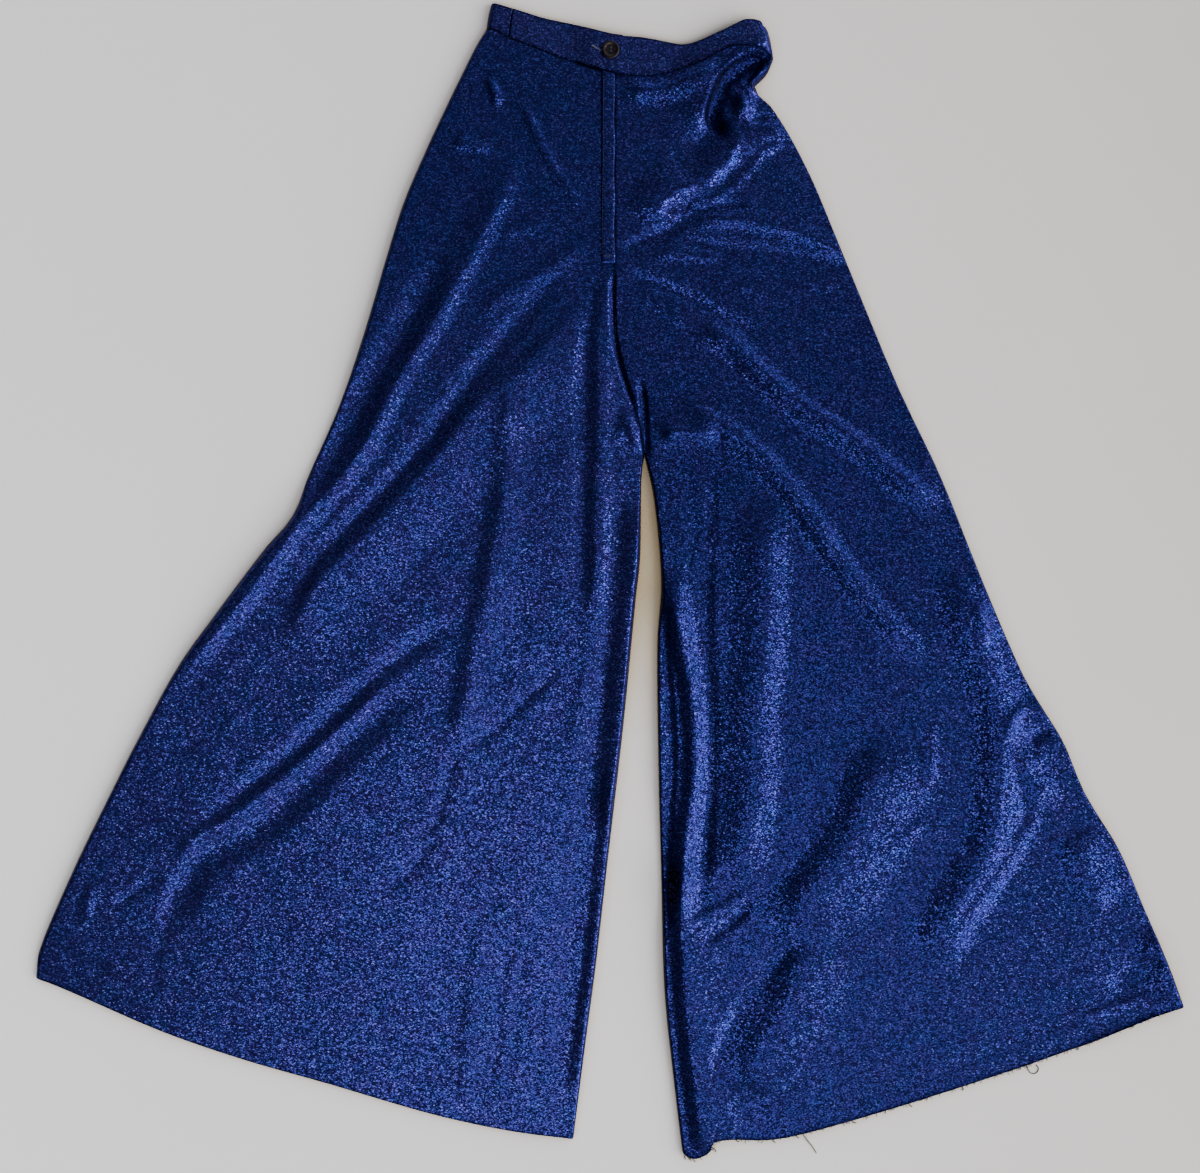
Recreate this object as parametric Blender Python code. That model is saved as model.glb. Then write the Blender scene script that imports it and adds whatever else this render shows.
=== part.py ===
"""Wide-leg trousers with a high waist, laid flat on a surface with the front up.

Metres, +Z up. The origin is at the bottom centre of the garment's box: +X points to the wearer's
left side, +Y to the waist, and the back panels lie on Z = 0. "Right" and "left" are the wearer's.
The back layer is flat. The front layer follows one height, which drape() works out from a loft,
a table of folds and a rounded fall to the side seams, so every piece on it shares its form.
"""
from typing import NamedTuple

import bmesh
import bpy
import numpy as np

# Cloth and seams
CLOTH = 0.0015
BAND_CLOTH = 0.0020
LAP_CLOTH = 0.0012
GAP = 0.0003
FRONT_Z = CLOTH + GAP

# How high the front layer lies over the back layer between its folds
LOFT = 0.0045
HEM_LOFT = 0.0020
HEM_SOFT = 0.20
CLAMP = 0.0020
ROLL_LEAST = 0.006
ROLL_MOST = 0.024
ROLL_SHARE = 1.2
STEEPEST = 1.6
SLOPE_STEP = 0.001

# Waistband: where its front halves end, its side seam, and how the lap rises over the underlap
LAP_END = 0.013
UNDERLAP_END = -0.012
LAP_RISE_START = -0.040
LAP_RISE_END = -0.0135
SIDE_SEAM_TOP = (-0.0970, 0.5715)
SIDE_SEAM_FOOT = (-0.1010, 0.5425)
BACK_BAND_INSET = 0.0015

# Fly lap: a strip down the centre front
FLY_LEFT = -0.0080
FLY_RIGHT = 0.0052
FLY_FOOT = 0.3170
FLY_GAP = 0.0005

# Button
BUTTON_PLACE = (0.001, 0.5285)
BUTTON_RADIUS = 0.009
BUTTON_THICK = 0.0030
BUTTON_RIM = 0.0016
BUTTON_DISH = 0.0007
BUTTON_HOLE_RADIUS = 0.0010
BUTTON_HOLE_PITCH = 0.0026
BUTTON_SIDES = 28
HOLE_SIDES = 8

# Grids: shares of a panel's width and length
RIM_SHARES = (0.0, 0.012, 0.040)
PANEL_COLUMNS = 21
TOP_SHARE = 0.11
TOP_ROWS = 13
LEG_ROWS = 40
BAND_ROWS = 5
CURVE_STEPS = 8

NAVY = (0.012, 0.028, 0.160)
DARK_BROWN = (0.030, 0.014, 0.010)

# Edges of the garment as (x, y), each run from the waist or the centre outward and down
OUTER_RIGHT = (
    (-0.1230, 0.5520), (-0.1340, 0.5340), (-0.1460, 0.5100), (-0.1580, 0.4855), (-0.1800, 0.4390),
    (-0.2050, 0.3810), (-0.2220, 0.3280), (-0.2450, 0.2500), (-0.2705, 0.1750), (-0.3000, 0.1080),
    (-0.3170, 0.0655), (-0.3474, 0.0290), (-0.3934, -0.0320), (-0.4320, -0.0860), (-0.4700, -0.1550),
    (-0.5010, -0.2160), (-0.5364, -0.2890), (-0.5686, -0.3640), (-0.5740, -0.3968),
)
OUTER_LEFT = (
    (0.1640, 0.5220), (0.1580, 0.5080), (0.1510, 0.5000), (0.1450, 0.4935), (0.1506, 0.4845),
    (0.1580, 0.4780), (0.1650, 0.4700), (0.1830, 0.4410), (0.2040, 0.3993), (0.2220, 0.3564),
    (0.2490, 0.2904), (0.2900, 0.1920), (0.3320, 0.1033), (0.3730, 0.0012), (0.4076, -0.0800),
    (0.4260, -0.1150), (0.4540, -0.1607), (0.4760, -0.2125), (0.5095, -0.2680), (0.5350, -0.3270),
    (0.5576, -0.3790), (0.5740, -0.4234),
)
CENTRE_FRONT = (
    (0.0055, 0.5070), (0.0055, 0.3180), (0.0055, 0.2790), (0.0080, 0.2260), (0.0180, 0.1930),
    (0.0290, 0.1600), (0.0350, 0.1250),
)
INSEAM_RIGHT = (
    (0.0350, 0.1250), (0.0320, 0.0990), (0.0310, 0.0260), (0.0260, -0.0230), (0.0140, -0.1460),
    (-0.0020, -0.2840), (-0.0130, -0.3810), (-0.0240, -0.4640), (-0.0360, -0.5575),
)
INSEAM_LEFT = (
    (0.0350, 0.1250), (0.0450, 0.0790), (0.0520, -0.0010), (0.0480, -0.0640), (0.0490, -0.1800),
    (0.0520, -0.2980), (0.0550, -0.4090), (0.0650, -0.5050), (0.0730, -0.5716),
)
HEM_RIGHT = (
    (-0.5740, -0.3968), (-0.5430, -0.4086), (-0.4520, -0.4480), (-0.3730, -0.4760),
    (-0.2740, -0.5035), (-0.1750, -0.5270), (-0.0960, -0.5490), (-0.0360, -0.5575),
)
HEM_LEFT = (
    (0.5740, -0.4234), (0.5460, -0.4345), (0.4540, -0.4710), (0.3430, -0.5085), (0.2320, -0.5420),
    (0.1650, -0.5580), (0.1210, -0.5580), (0.1040, -0.5610), (0.1006, -0.5700), (0.0895, -0.5768),
    (0.0800, -0.5768), (0.0730, -0.5716),
)
BAND_TOP = (
    (-0.1180, 0.5776), (-0.0890, 0.5690), (-0.0650, 0.5615), (-0.0330, 0.5545), (0.0026, 0.5453),
    (0.0360, 0.5420), (0.0670, 0.5360), (0.0790, 0.5360), (0.0920, 0.5400), (0.1080, 0.5470),
    (0.1190, 0.5520), (0.1320, 0.5583), (0.1380, 0.5594), (0.1470, 0.5580), (0.1540, 0.5550),
)
BAND_END = (
    (0.1540, 0.5550), (0.1580, 0.5510), (0.1610, 0.5410), (0.1630, 0.5300), (0.1640, 0.5220),
)
BAND_START = ((-0.1180, 0.5776), (-0.1210, 0.5650), (-0.1230, 0.5520))
WAIST_SEAM = (
    (-0.1230, 0.5520), (-0.1130, 0.5490), (-0.1010, 0.5425), (-0.0760, 0.5330), (-0.0510, 0.5230),
    (-0.0170, 0.5130), (0.0055, 0.5070), (0.0250, 0.5044), (0.0420, 0.5044), (0.0640, 0.5090),
    (0.0920, 0.5180), (0.1140, 0.5290), (0.1250, 0.5320), (0.1430, 0.5310), (0.1530, 0.5290),
    (0.1640, 0.5220),
)
ROLLED_EDGES = (BAND_START, OUTER_RIGHT, INSEAM_RIGHT, INSEAM_LEFT, OUTER_LEFT, BAND_END)


class Fold(NamedTuple):
    """A ridge, or a hollow where rise is negative, along a smooth course."""

    course: tuple   # points that it runs through
    rise: float
    left: float     # width of the flank on the left of its course
    right: float
    fade: float     # share of its length over which each end dies away


RIGHT_LEG_FOLDS = (
    # long ridge from the hip
    Fold((
        (-0.091, 0.440), (-0.131, 0.339), (-0.183, 0.243), (-0.237, 0.148), (-0.304, 0.063),
        (-0.370, -0.025), (-0.438, -0.110),
    ), 0.0046, 0.018, 0.032, 0.12),
    # hollow outside it
    Fold(((-0.158, 0.330), (-0.210, 0.239), (-0.262, 0.148), (-0.318, 0.060)), -0.0045, 0.022, 0.026, 0.2),
    # hollow across the thigh
    Fold((
        (-0.028, 0.310), (-0.093, 0.254), (-0.148, 0.187), (-0.201, 0.118), (-0.258, 0.052),
        (-0.310, -0.016),
    ), -0.0036, 0.018, 0.018, 0.2),
    # ridge across the thigh
    Fold((
        (-0.016, 0.286), (-0.082, 0.214), (-0.153, 0.147), (-0.219, 0.075), (-0.286, 0.004),
        (-0.328, -0.084),
    ), 0.0057, 0.067, 0.018, 0.2),
    # upper of two hollows below the knee
    Fold((
        (-0.138, -0.037), (-0.214, -0.081), (-0.282, -0.139), (-0.349, -0.196), (-0.420, -0.250),
    ), -0.0038, 0.018, 0.018, 0.2),
    # thin ridge between them
    Fold((
        (-0.205, -0.080), (-0.262, -0.140), (-0.324, -0.194), (-0.391, -0.243), (-0.436, -0.306),
    ), 0.0018, 0.018, 0.018, 0.2),
    # lower of two hollows
    Fold((
        (-0.186, -0.092), (-0.257, -0.158), (-0.328, -0.224), (-0.408, -0.278), (-0.466, -0.354),
    ), -0.0052, 0.026, 0.018, 0.2),
    # pressed edge down the leg
    Fold((
        (-0.104, 0.195), (-0.105, 0.104), (-0.118, 0.013), (-0.135, -0.076), (-0.152, -0.166),
    ), 0.0043, 0.032, 0.020, 0.1),
    # hollow left of the centre front
    Fold((
        (-0.010, 0.295), (-0.025, 0.215), (-0.028, 0.133), (-0.030, 0.051), (-0.024, -0.030),
    ), -0.0024, 0.024, 0.018, 0.15),
    # ridge of the centre front
    Fold((
        (0.001, 0.318), (-0.011, 0.227), (-0.011, 0.134), (-0.014, 0.042), (-0.018, -0.050),
    ), 0.0032, 0.019, 0.018, 0.12),
    # hollow along the inseam
    Fold((
        (0.022, 0.100), (-0.002, -0.009), (-0.014, -0.122), (-0.025, -0.234), (-0.039, -0.345),
        (-0.049, -0.458), (-0.058, -0.570),
    ), -0.0030, 0.030, 0.018, 0.07),
    # rim of the inseam
    Fold((
        (0.027, 0.094), (0.019, -0.015), (0.009, -0.125), (-0.003, -0.233), (-0.016, -0.342),
        (-0.029, -0.451), (-0.043, -0.560),
    ), 0.0042, 0.018, 0.025, 0.06),
    # swell beside it
    Fold(((0.002, 0.075), (-0.009, -0.020), (-0.025, -0.115), (-0.038, -0.210)), 0.0014, 0.019, 0.018, 0.2),
)
LEFT_LEG_FOLDS = (
    # edge of the front over the inseam
    Fold((
        (0.058, 0.020), (0.075, -0.074), (0.085, -0.169), (0.076, -0.264), (0.074, -0.360),
    ), 0.0070, 0.020, 0.018, 0.16),
    # rolled edge below it
    Fold(((0.074, -0.270), (0.074, -0.374), (0.083, -0.477), (0.097, -0.580)), 0.0057, 0.051, 0.018, 0.1),
    # hollow outside it
    Fold((
        (0.050, -0.010), (0.057, -0.100), (0.061, -0.190), (0.055, -0.280), (0.054, -0.370),
    ), -0.0024, 0.018, 0.018, 0.2),
    # valley between the ridges
    Fold((
        (0.099, 0.140), (0.098, 0.053), (0.096, -0.033), (0.098, -0.120), (0.097, -0.207),
        (0.093, -0.293), (0.090, -0.380),
    ), -0.0027, 0.018, 0.030, 0.18),
    # ridge down the middle of the leg
    Fold((
        (0.153, 0.090), (0.155, 0.008), (0.151, -0.074), (0.145, -0.156), (0.138, -0.238),
        (0.136, -0.320),
    ), 0.0068, 0.032, 0.039, 0.14),
    # curved ridge above the hem
    Fold(((0.278, -0.148), (0.252, -0.224), (0.213, -0.293), (0.160, -0.354)), 0.0084, 0.070, 0.032, 0.22),
    # ridge above the hem
    Fold(((0.202, -0.352), (0.170, -0.434), (0.122, -0.508)), 0.0066, 0.057, 0.027, 0.2),
    # ridge near the outer seam
    Fold((
        (0.340, 0.020), (0.364, -0.065), (0.387, -0.149), (0.382, -0.237), (0.349, -0.317),
        (0.310, -0.396),
    ), 0.0077, 0.036, 0.030, 0.14),
    # swell by the outer seam
    Fold(((0.408, -0.158), (0.420, -0.196), (0.426, -0.235)), 0.0048, 0.032, 0.018, 0.35),
    # lower swell by the outer seam
    Fold(((0.456, -0.246), (0.474, -0.292), (0.504, -0.330)), 0.0055, 0.038, 0.024, 0.3),
    # long ridge over the thigh
    Fold(((0.090, 0.254), (0.180, 0.211), (0.262, 0.150), (0.338, 0.082)), 0.0077, 0.028, 0.023, 0.12),
    # second ridge over the thigh
    Fold((
        (0.078, 0.196), (0.158, 0.149), (0.218, 0.079), (0.272, 0.003), (0.332, -0.068),
    ), 0.0058, 0.032, 0.031, 0.14),
    # ridge at the hip
    Fold(((0.080, 0.358), (0.166, 0.352), (0.246, 0.318)), 0.0033, 0.018, 0.018, 0.18),
)
WAIST_FOLDS = (
    # raised end of the waistband
    Fold(((0.202, 0.572), (0.118, 0.520), (0.080, 0.430)), 0.0120, 0.015, 0.052, 0.22),
    # deep hollow under it
    Fold(((0.162, 0.522), (0.115, 0.499), (0.112, 0.452)), -0.0080, 0.013, 0.013, 0.12),
    # knob of cloth
    Fold(((0.128, 0.492), (0.130, 0.474), (0.134, 0.456)), 0.0050, 0.013, 0.013, 0.35),
    # ridge of the pinch
    Fold(((0.186, 0.458), (0.102, 0.412), (0.028, 0.354)), 0.0054, 0.024, 0.032, 0.14),
    # hollow under the ridge
    Fold(((0.138, 0.375), (0.071, 0.357), (0.008, 0.326)), -0.0029, 0.013, 0.013, 0.15),
    # hollow above the ridge
    Fold(((0.112, 0.468), (0.086, 0.433), (0.058, 0.400)), -0.0026, 0.024, 0.020, 0.25),
)
FOLDS = RIGHT_LEG_FOLDS + LEFT_LEG_FOLDS + WAIST_FOLDS


def ramp(value):
    """Rises smoothly from 0 to 1 as value does."""
    value = np.clip(value, 0.0, 1.0)
    return value * value * (3.0 - 2.0 * value)


def nearest(points, line):
    """Each point's distance from a line, the side it is on (left is +1), and how far along it is."""
    distance = np.full(len(points), np.inf)
    side = np.zeros(len(points))
    along = np.zeros(len(points))
    lengths = np.linalg.norm(np.diff(line, axis=0), axis=1)
    passed = np.concatenate([[0.0], np.cumsum(lengths)])
    for index, length in enumerate(lengths):
        direction = (line[index + 1] - line[index]) / length
        offset = points - line[index]
        run = np.clip(offset @ direction, 0.0, length)
        rest = offset - run[:, None] * direction
        here = np.hypot(rest[:, 0], rest[:, 1])
        closer = here < distance
        turn = np.sign(direction[0] * offset[:, 1] - direction[1] * offset[:, 0])
        distance = np.where(closer, here, distance)
        side = np.where(closer, turn, side)
        along = np.where(closer, (passed[index] + run) / passed[-1], along)
    return distance, side, along


def smooth_line(table, steps=CURVE_STEPS):
    """Points on a Catmull-Rom curve through the points of a table."""
    knots = np.array(table, dtype=float)
    padded = np.vstack([2.0 * knots[0] - knots[1], knots, 2.0 * knots[-1] - knots[-2]])
    shares = np.linspace(0.0, 1.0, steps, endpoint=False)[:, None]
    runs = []
    for before, start, end, after in zip(padded, padded[1:], padded[2:], padded[3:]):
        runs.append(0.5 * (
            2.0 * start
            + (end - before) * shares
            + (2.0 * before - 5.0 * start + 4.0 * end - after) * shares ** 2
            + (3.0 * start - before - 3.0 * end + after) * shares ** 3
        ))
    return np.vstack(runs + [knots[-1:]])


def fold_height(points, fold):
    """What one fold adds to the height at each point."""
    distance, side, along = nearest(points, smooth_line(fold.course, 4))
    flank = np.where(side >= 0.0, fold.left, fold.right)
    reach = np.clip(distance / flank, 0.0, 1.0)
    ends = ramp(along / fold.fade) * ramp((1.0 - along) / fold.fade)
    return fold.rise * (1.0 - reach ** 2) ** 2 * ends


def drape(points):
    """How high the front layer lies over the back layer at each point."""
    hem = np.minimum(nearest(points, np.array(HEM_RIGHT))[0], nearest(points, np.array(HEM_LEFT))[0])
    height = HEM_LOFT + (LOFT - HEM_LOFT) * ramp(hem / HEM_SOFT)
    for fold in FOLDS:
        height = height + fold_height(points, fold)
    height = 0.5 * (height + np.sqrt(height ** 2 + CLAMP ** 2))
    rim = np.min([nearest(points, np.array(edge))[0] for edge in ROLLED_EDGES], axis=0)
    roll = np.clip(rim / np.clip(ROLL_SHARE * height, ROLL_LEAST, ROLL_MOST), 0.0, 1.0)
    return height * (1.0 - (1.0 - roll) ** 2)


def steepness(points):
    """How much thicker a sloping wall is, measured straight up, than across."""
    step_x = np.array([SLOPE_STEP, 0.0])
    step_y = np.array([0.0, SLOPE_STEP])
    slope_x = (drape(points + step_x) - drape(points - step_x)) / (2.0 * SLOPE_STEP)
    slope_y = (drape(points + step_y) - drape(points - step_y)) / (2.0 * SLOPE_STEP)
    return np.minimum(np.sqrt(1.0 + slope_x ** 2 + slope_y ** 2), STEEPEST)


def spread(line, shares):
    """Points at the given shares of a line's length."""
    lengths = np.linalg.norm(np.diff(line, axis=0), axis=1)
    passed = np.concatenate([[0.0], np.cumsum(lengths)])
    wanted = np.asarray(shares) * passed[-1]
    return np.stack([np.interp(wanted, passed, line[:, axis]) for axis in range(2)], axis=1)


def spread_inner(centre, inseam, rows):
    """Points down a panel's inner edge, with a row at the crotch where its two lines meet."""
    share = line_length(centre) / (line_length(centre) + line_length(inseam))
    crotch = int(np.argmin(np.abs(rows - share)))
    above = spread(centre, rows[:crotch + 1] / rows[crotch])
    below = spread(inseam, (rows[crotch:] - rows[crotch]) / (1.0 - rows[crotch]))
    return np.vstack([above, below[1:]])


def patch(top, foot, start, end, columns, rows):
    """A grid of points between four edges, each with a point for each column or row."""
    u = np.asarray(columns)[None, :, None]
    v = np.asarray(rows)[:, None, None]
    across = (1.0 - u) * start[:, None] + u * end[:, None]
    down = (1.0 - v) * top[None] + v * foot[None]
    corners = (
        (1.0 - u) * (1.0 - v) * top[0] + u * (1.0 - v) * top[-1]
        + (1.0 - u) * v * foot[0] + u * v * foot[-1]
    )
    return across + down - corners


def line_length(line):
    """Length of a line."""
    return np.linalg.norm(np.diff(line, axis=0), axis=1).sum()


def part_of_line(line, low_x, high_x):
    """The stretch of a line between two values of x, with its ends worked out."""
    ends = [np.array([x, np.interp(x, line[:, 0], line[:, 1])]) for x in (low_x, high_x)]
    inside = line[(line[:, 0] > low_x) & (line[:, 0] < high_x)]
    return np.vstack([ends[0], inside, ends[1]])


def moved(line, x=0.0, y=0.0):
    """A line moved by x and y."""
    return np.asarray(line) + np.array([x, y])


def material(name, colour, roughness, metallic):
    """A plain Principled material."""
    made = bpy.data.materials.new(name)
    made.use_nodes = True
    shader = made.node_tree.nodes["Principled BSDF"]
    shader.inputs["Base Color"].default_value = (*colour, 1.0)
    shader.inputs["Roughness"].default_value = roughness
    shader.inputs["Metallic"].default_value = metallic
    return made


def add_object(name, mesh, look, smooth_angle=0.6):
    """Puts a mesh in the scene under the node's name."""
    mesh.materials.append(look)
    mesh.shade_smooth()
    mesh.set_sharp_from_angle(angle=smooth_angle)
    made = bpy.data.objects.new(name, mesh)
    bpy.context.scene.collection.objects.link(made)
    return made


def wall(name, plan, low, thick, look):
    """A closed wall over a grid of plan points, from the height low up by thick."""
    rows, columns = plan.shape[:2]
    count = rows * columns
    foot = np.column_stack([plan.reshape(count, 2), low])
    head = np.column_stack([plan.reshape(count, 2), low + thick])
    index = np.arange(count).reshape(rows, columns)
    a, b = index[:-1, :-1].ravel(), index[:-1, 1:].ravel()
    c, d = index[1:, 1:].ravel(), index[1:, :-1].ravel()
    under = np.stack([a, b, c, d], axis=1)
    over = np.stack([d, c, b, a], axis=1) + count
    ring = np.concatenate([index[0, :-1], index[:-1, -1], index[-1, :0:-1], index[:0:-1, 0]])
    following = np.roll(ring, -1)
    side = np.stack([following, ring, ring + count, following + count], axis=1)
    mesh = bpy.data.meshes.new(name)
    mesh.from_pydata(np.vstack([foot, head]).tolist(), [], np.vstack([under, over, side]).tolist())
    return add_object(name, outward(mesh), look)


def flat_wall(name, outline, look):
    """A flat piece of cloth on Z = 0, inside a closed outline."""
    count = len(outline)
    low = [(x, y, 0.0) for x, y in outline]
    high = [(x, y, CLOTH) for x, y in outline]
    sides = [(i, (i + 1) % count, (i + 1) % count + count, i + count) for i in range(count)]
    mesh = bpy.data.meshes.new(name)
    caps = [tuple(range(count))[::-1], tuple(range(count, 2 * count))]
    mesh.from_pydata(low + high, [], caps + sides)
    return add_object(name, outward(mesh), look)


def outward(mesh):
    """Turns a closed mesh's faces so that they point out."""
    shape = bmesh.new()
    shape.from_mesh(mesh)
    bmesh.ops.recalc_face_normals(shape, faces=shape.faces)
    shape.to_mesh(mesh)
    shape.free()
    return mesh


def panel_columns():
    """Shares of a panel's width, closer together where its rims roll over."""
    middle = np.linspace(RIM_SHARES[-1], 1.0 - RIM_SHARES[-1], PANEL_COLUMNS)
    return np.concatenate([RIM_SHARES[:-1], middle, 1.0 - np.array(RIM_SHARES[-2::-1])])


def panel_rows():
    """Shares of a panel's length, closer together below the waist."""
    top = np.linspace(0.0, TOP_SHARE, TOP_ROWS, endpoint=False)
    return np.concatenate([top, np.linspace(TOP_SHARE, 1.0, LEG_ROWS + 1)])


def make_front(name, waist, outer, inseam, hem, seam_side, look):
    """A front panel: its outer edge first, then across to the centre front and inseam."""
    rows, columns = panel_rows(), panel_columns()
    inner = spread_inner(smooth_line(CENTRE_FRONT), smooth_line(inseam), rows)
    inner = moved(inner, x=seam_side * GAP / 2.0)
    outer = spread(smooth_line(outer), rows)
    waist = spread(moved(waist, y=-GAP / 2.0), columns)
    hem = spread(smooth_line(hem), columns)
    waist[0], waist[-1], hem[0], hem[-1] = outer[0], inner[0], outer[-1], inner[-1]
    plan = patch(waist, hem, outer, inner, columns, rows)
    points = plan.reshape(-1, 2)
    return wall(name, plan, FRONT_Z + drape(points), CLOTH * steepness(points), look)


def make_fronts(look):
    """Both front panels, which meet at the centre front."""
    seam = smooth_line(WAIST_SEAM)
    centre = CENTRE_FRONT[0][0]
    right_waist = part_of_line(seam, seam[0, 0], centre)
    left_waist = part_of_line(seam, centre, seam[-1, 0])[::-1]
    make_front("front_right", right_waist, OUTER_RIGHT, INSEAM_RIGHT, HEM_RIGHT, -1.0, look)
    make_front("front_left", left_waist, OUTER_LEFT, INSEAM_LEFT, HEM_LEFT, 1.0, look)


def make_backs(look):
    """Both back panels, flat on the surface under the fronts."""
    seam = smooth_line(WAIST_SEAM, 2)
    centre = smooth_line(CENTRE_FRONT, 3)
    waist_right = part_of_line(seam, seam[0, 0], centre[0, 0] - GAP / 2.0)
    waist_left = part_of_line(seam, centre[0, 0] + GAP / 2.0, seam[-1, 0])
    sides = (
        ("back_right", waist_right[::-1], OUTER_RIGHT, HEM_RIGHT, INSEAM_RIGHT, -1.0),
        ("back_left", waist_left, OUTER_LEFT, HEM_LEFT, INSEAM_LEFT, 1.0),
    )
    for name, waist, outer, hem, inseam, side in sides:
        inner = np.vstack([centre, smooth_line(inseam, 3)[1:]])
        inner = moved(inner, x=side * GAP / 2.0)[::-1]
        waist = moved(waist, y=-GAP / 2.0)
        outline = np.vstack([
            waist[1:], smooth_line(outer, 3)[1:-1], smooth_line(hem, 3)[:-1], inner,
        ])
        flat_wall(name, outline, look)


def band_patch(name, low_x, high_x, start, end, columns, lift, look):
    """A stretch of the front waistband between two ends, with lift(x) under it."""
    top = part_of_line(smooth_line(BAND_TOP), low_x[0], high_x[0])
    foot = moved(part_of_line(smooth_line(WAIST_SEAM), low_x[1], high_x[1]), y=GAP / 2.0)
    rows, shares = np.linspace(0.0, 1.0, BAND_ROWS + 1), np.linspace(0.0, 1.0, columns)
    start = spread(np.vstack([top[0], start, foot[0]]), rows)
    end = spread(np.vstack([top[-1], end, foot[-1]]), rows)
    plan = patch(spread(top, shares), spread(foot, shares), start, end, shares, rows)
    points = plan.reshape(-1, 2)
    low = FRONT_Z + drape(points) + lift(points[:, 0])
    return wall(name, plan, low, BAND_CLOTH * steepness(points), look)


def lap_lift(x):
    """How far the buttonhole end of the band rises over the underlap."""
    share = (x - LAP_RISE_START) / (LAP_RISE_END - LAP_RISE_START)
    return (BAND_CLOTH * STEEPEST * 0.5 + BAND_CLOTH * 0.5 + GAP) * ramp(share)


def level(x):
    """No lift along the band."""
    return np.zeros_like(x)


def make_bands(look):
    """The four pieces of the waistband."""
    top_x, foot_x = BAND_TOP[0][0], WAIST_SEAM[0][0]
    half = GAP / 2.0
    seam = (SIDE_SEAM_TOP[0], SIDE_SEAM_FOOT[0])
    none = np.empty((0, 2))
    band_patch(
        "waistband_side", (top_x, foot_x), (seam[0] - half, seam[1] - half),
        smooth_line(BAND_START)[1:-1], none, 7, level, look)
    band_patch(
        "waistband_front_right", (seam[0] + half, seam[1] + half), (LAP_END, LAP_END),
        none, none, 22, lap_lift, look)
    band_patch(
        "waistband_front_left", (UNDERLAP_END, UNDERLAP_END), (BAND_TOP[-1][0], WAIST_SEAM[-1][0]),
        none, smooth_line(BAND_END)[1:-1], 32, level, look)
    top = moved(smooth_line(BAND_TOP, 2), y=-BACK_BAND_INSET)
    foot = moved(smooth_line(WAIST_SEAM, 2), y=GAP / 2.0)
    end = smooth_line(BAND_END, 2)[1:-1]
    start = smooth_line(BAND_START, 2)[1:-1]
    flat_wall("waistband_back", np.vstack([top, end, foot[::-1], start[::-1]]), look)


def make_fly(look):
    """The lap of cloth down the centre front, on the right front panel."""
    seam = smooth_line(WAIST_SEAM)
    rows = np.linspace(0.0, 1.0, 24)[:, None]
    columns = np.linspace(FLY_LEFT, FLY_RIGHT, 4)[None, :]
    head = np.interp(columns, seam[:, 0], seam[:, 1]) - GAP
    plan = np.stack([columns + 0.0 * rows, head + (FLY_FOOT - head) * rows], axis=2)
    points = plan.reshape(-1, 2)
    thick = CLOTH * steepness(points)
    wall("fly_lap", plan, FRONT_Z + drape(points) + thick + FLY_GAP, LAP_CLOTH, look)


def cylinder(name, radius, low, high, sides, place):
    """A closed upright cylinder, used as a cutter."""
    shape = bmesh.new()
    bmesh.ops.create_cone(
        shape, cap_ends=True, segments=sides, radius1=radius, radius2=radius, depth=high - low)
    bmesh.ops.translate(shape, verts=shape.verts, vec=(place[0], place[1], (low + high) / 2.0))
    mesh = bpy.data.meshes.new(name)
    shape.to_mesh(mesh)
    shape.free()
    made = bpy.data.objects.new(name, mesh)
    bpy.context.scene.collection.objects.link(made)
    made.hide_render = True
    made.display_type = "WIRE"
    return made


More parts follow.
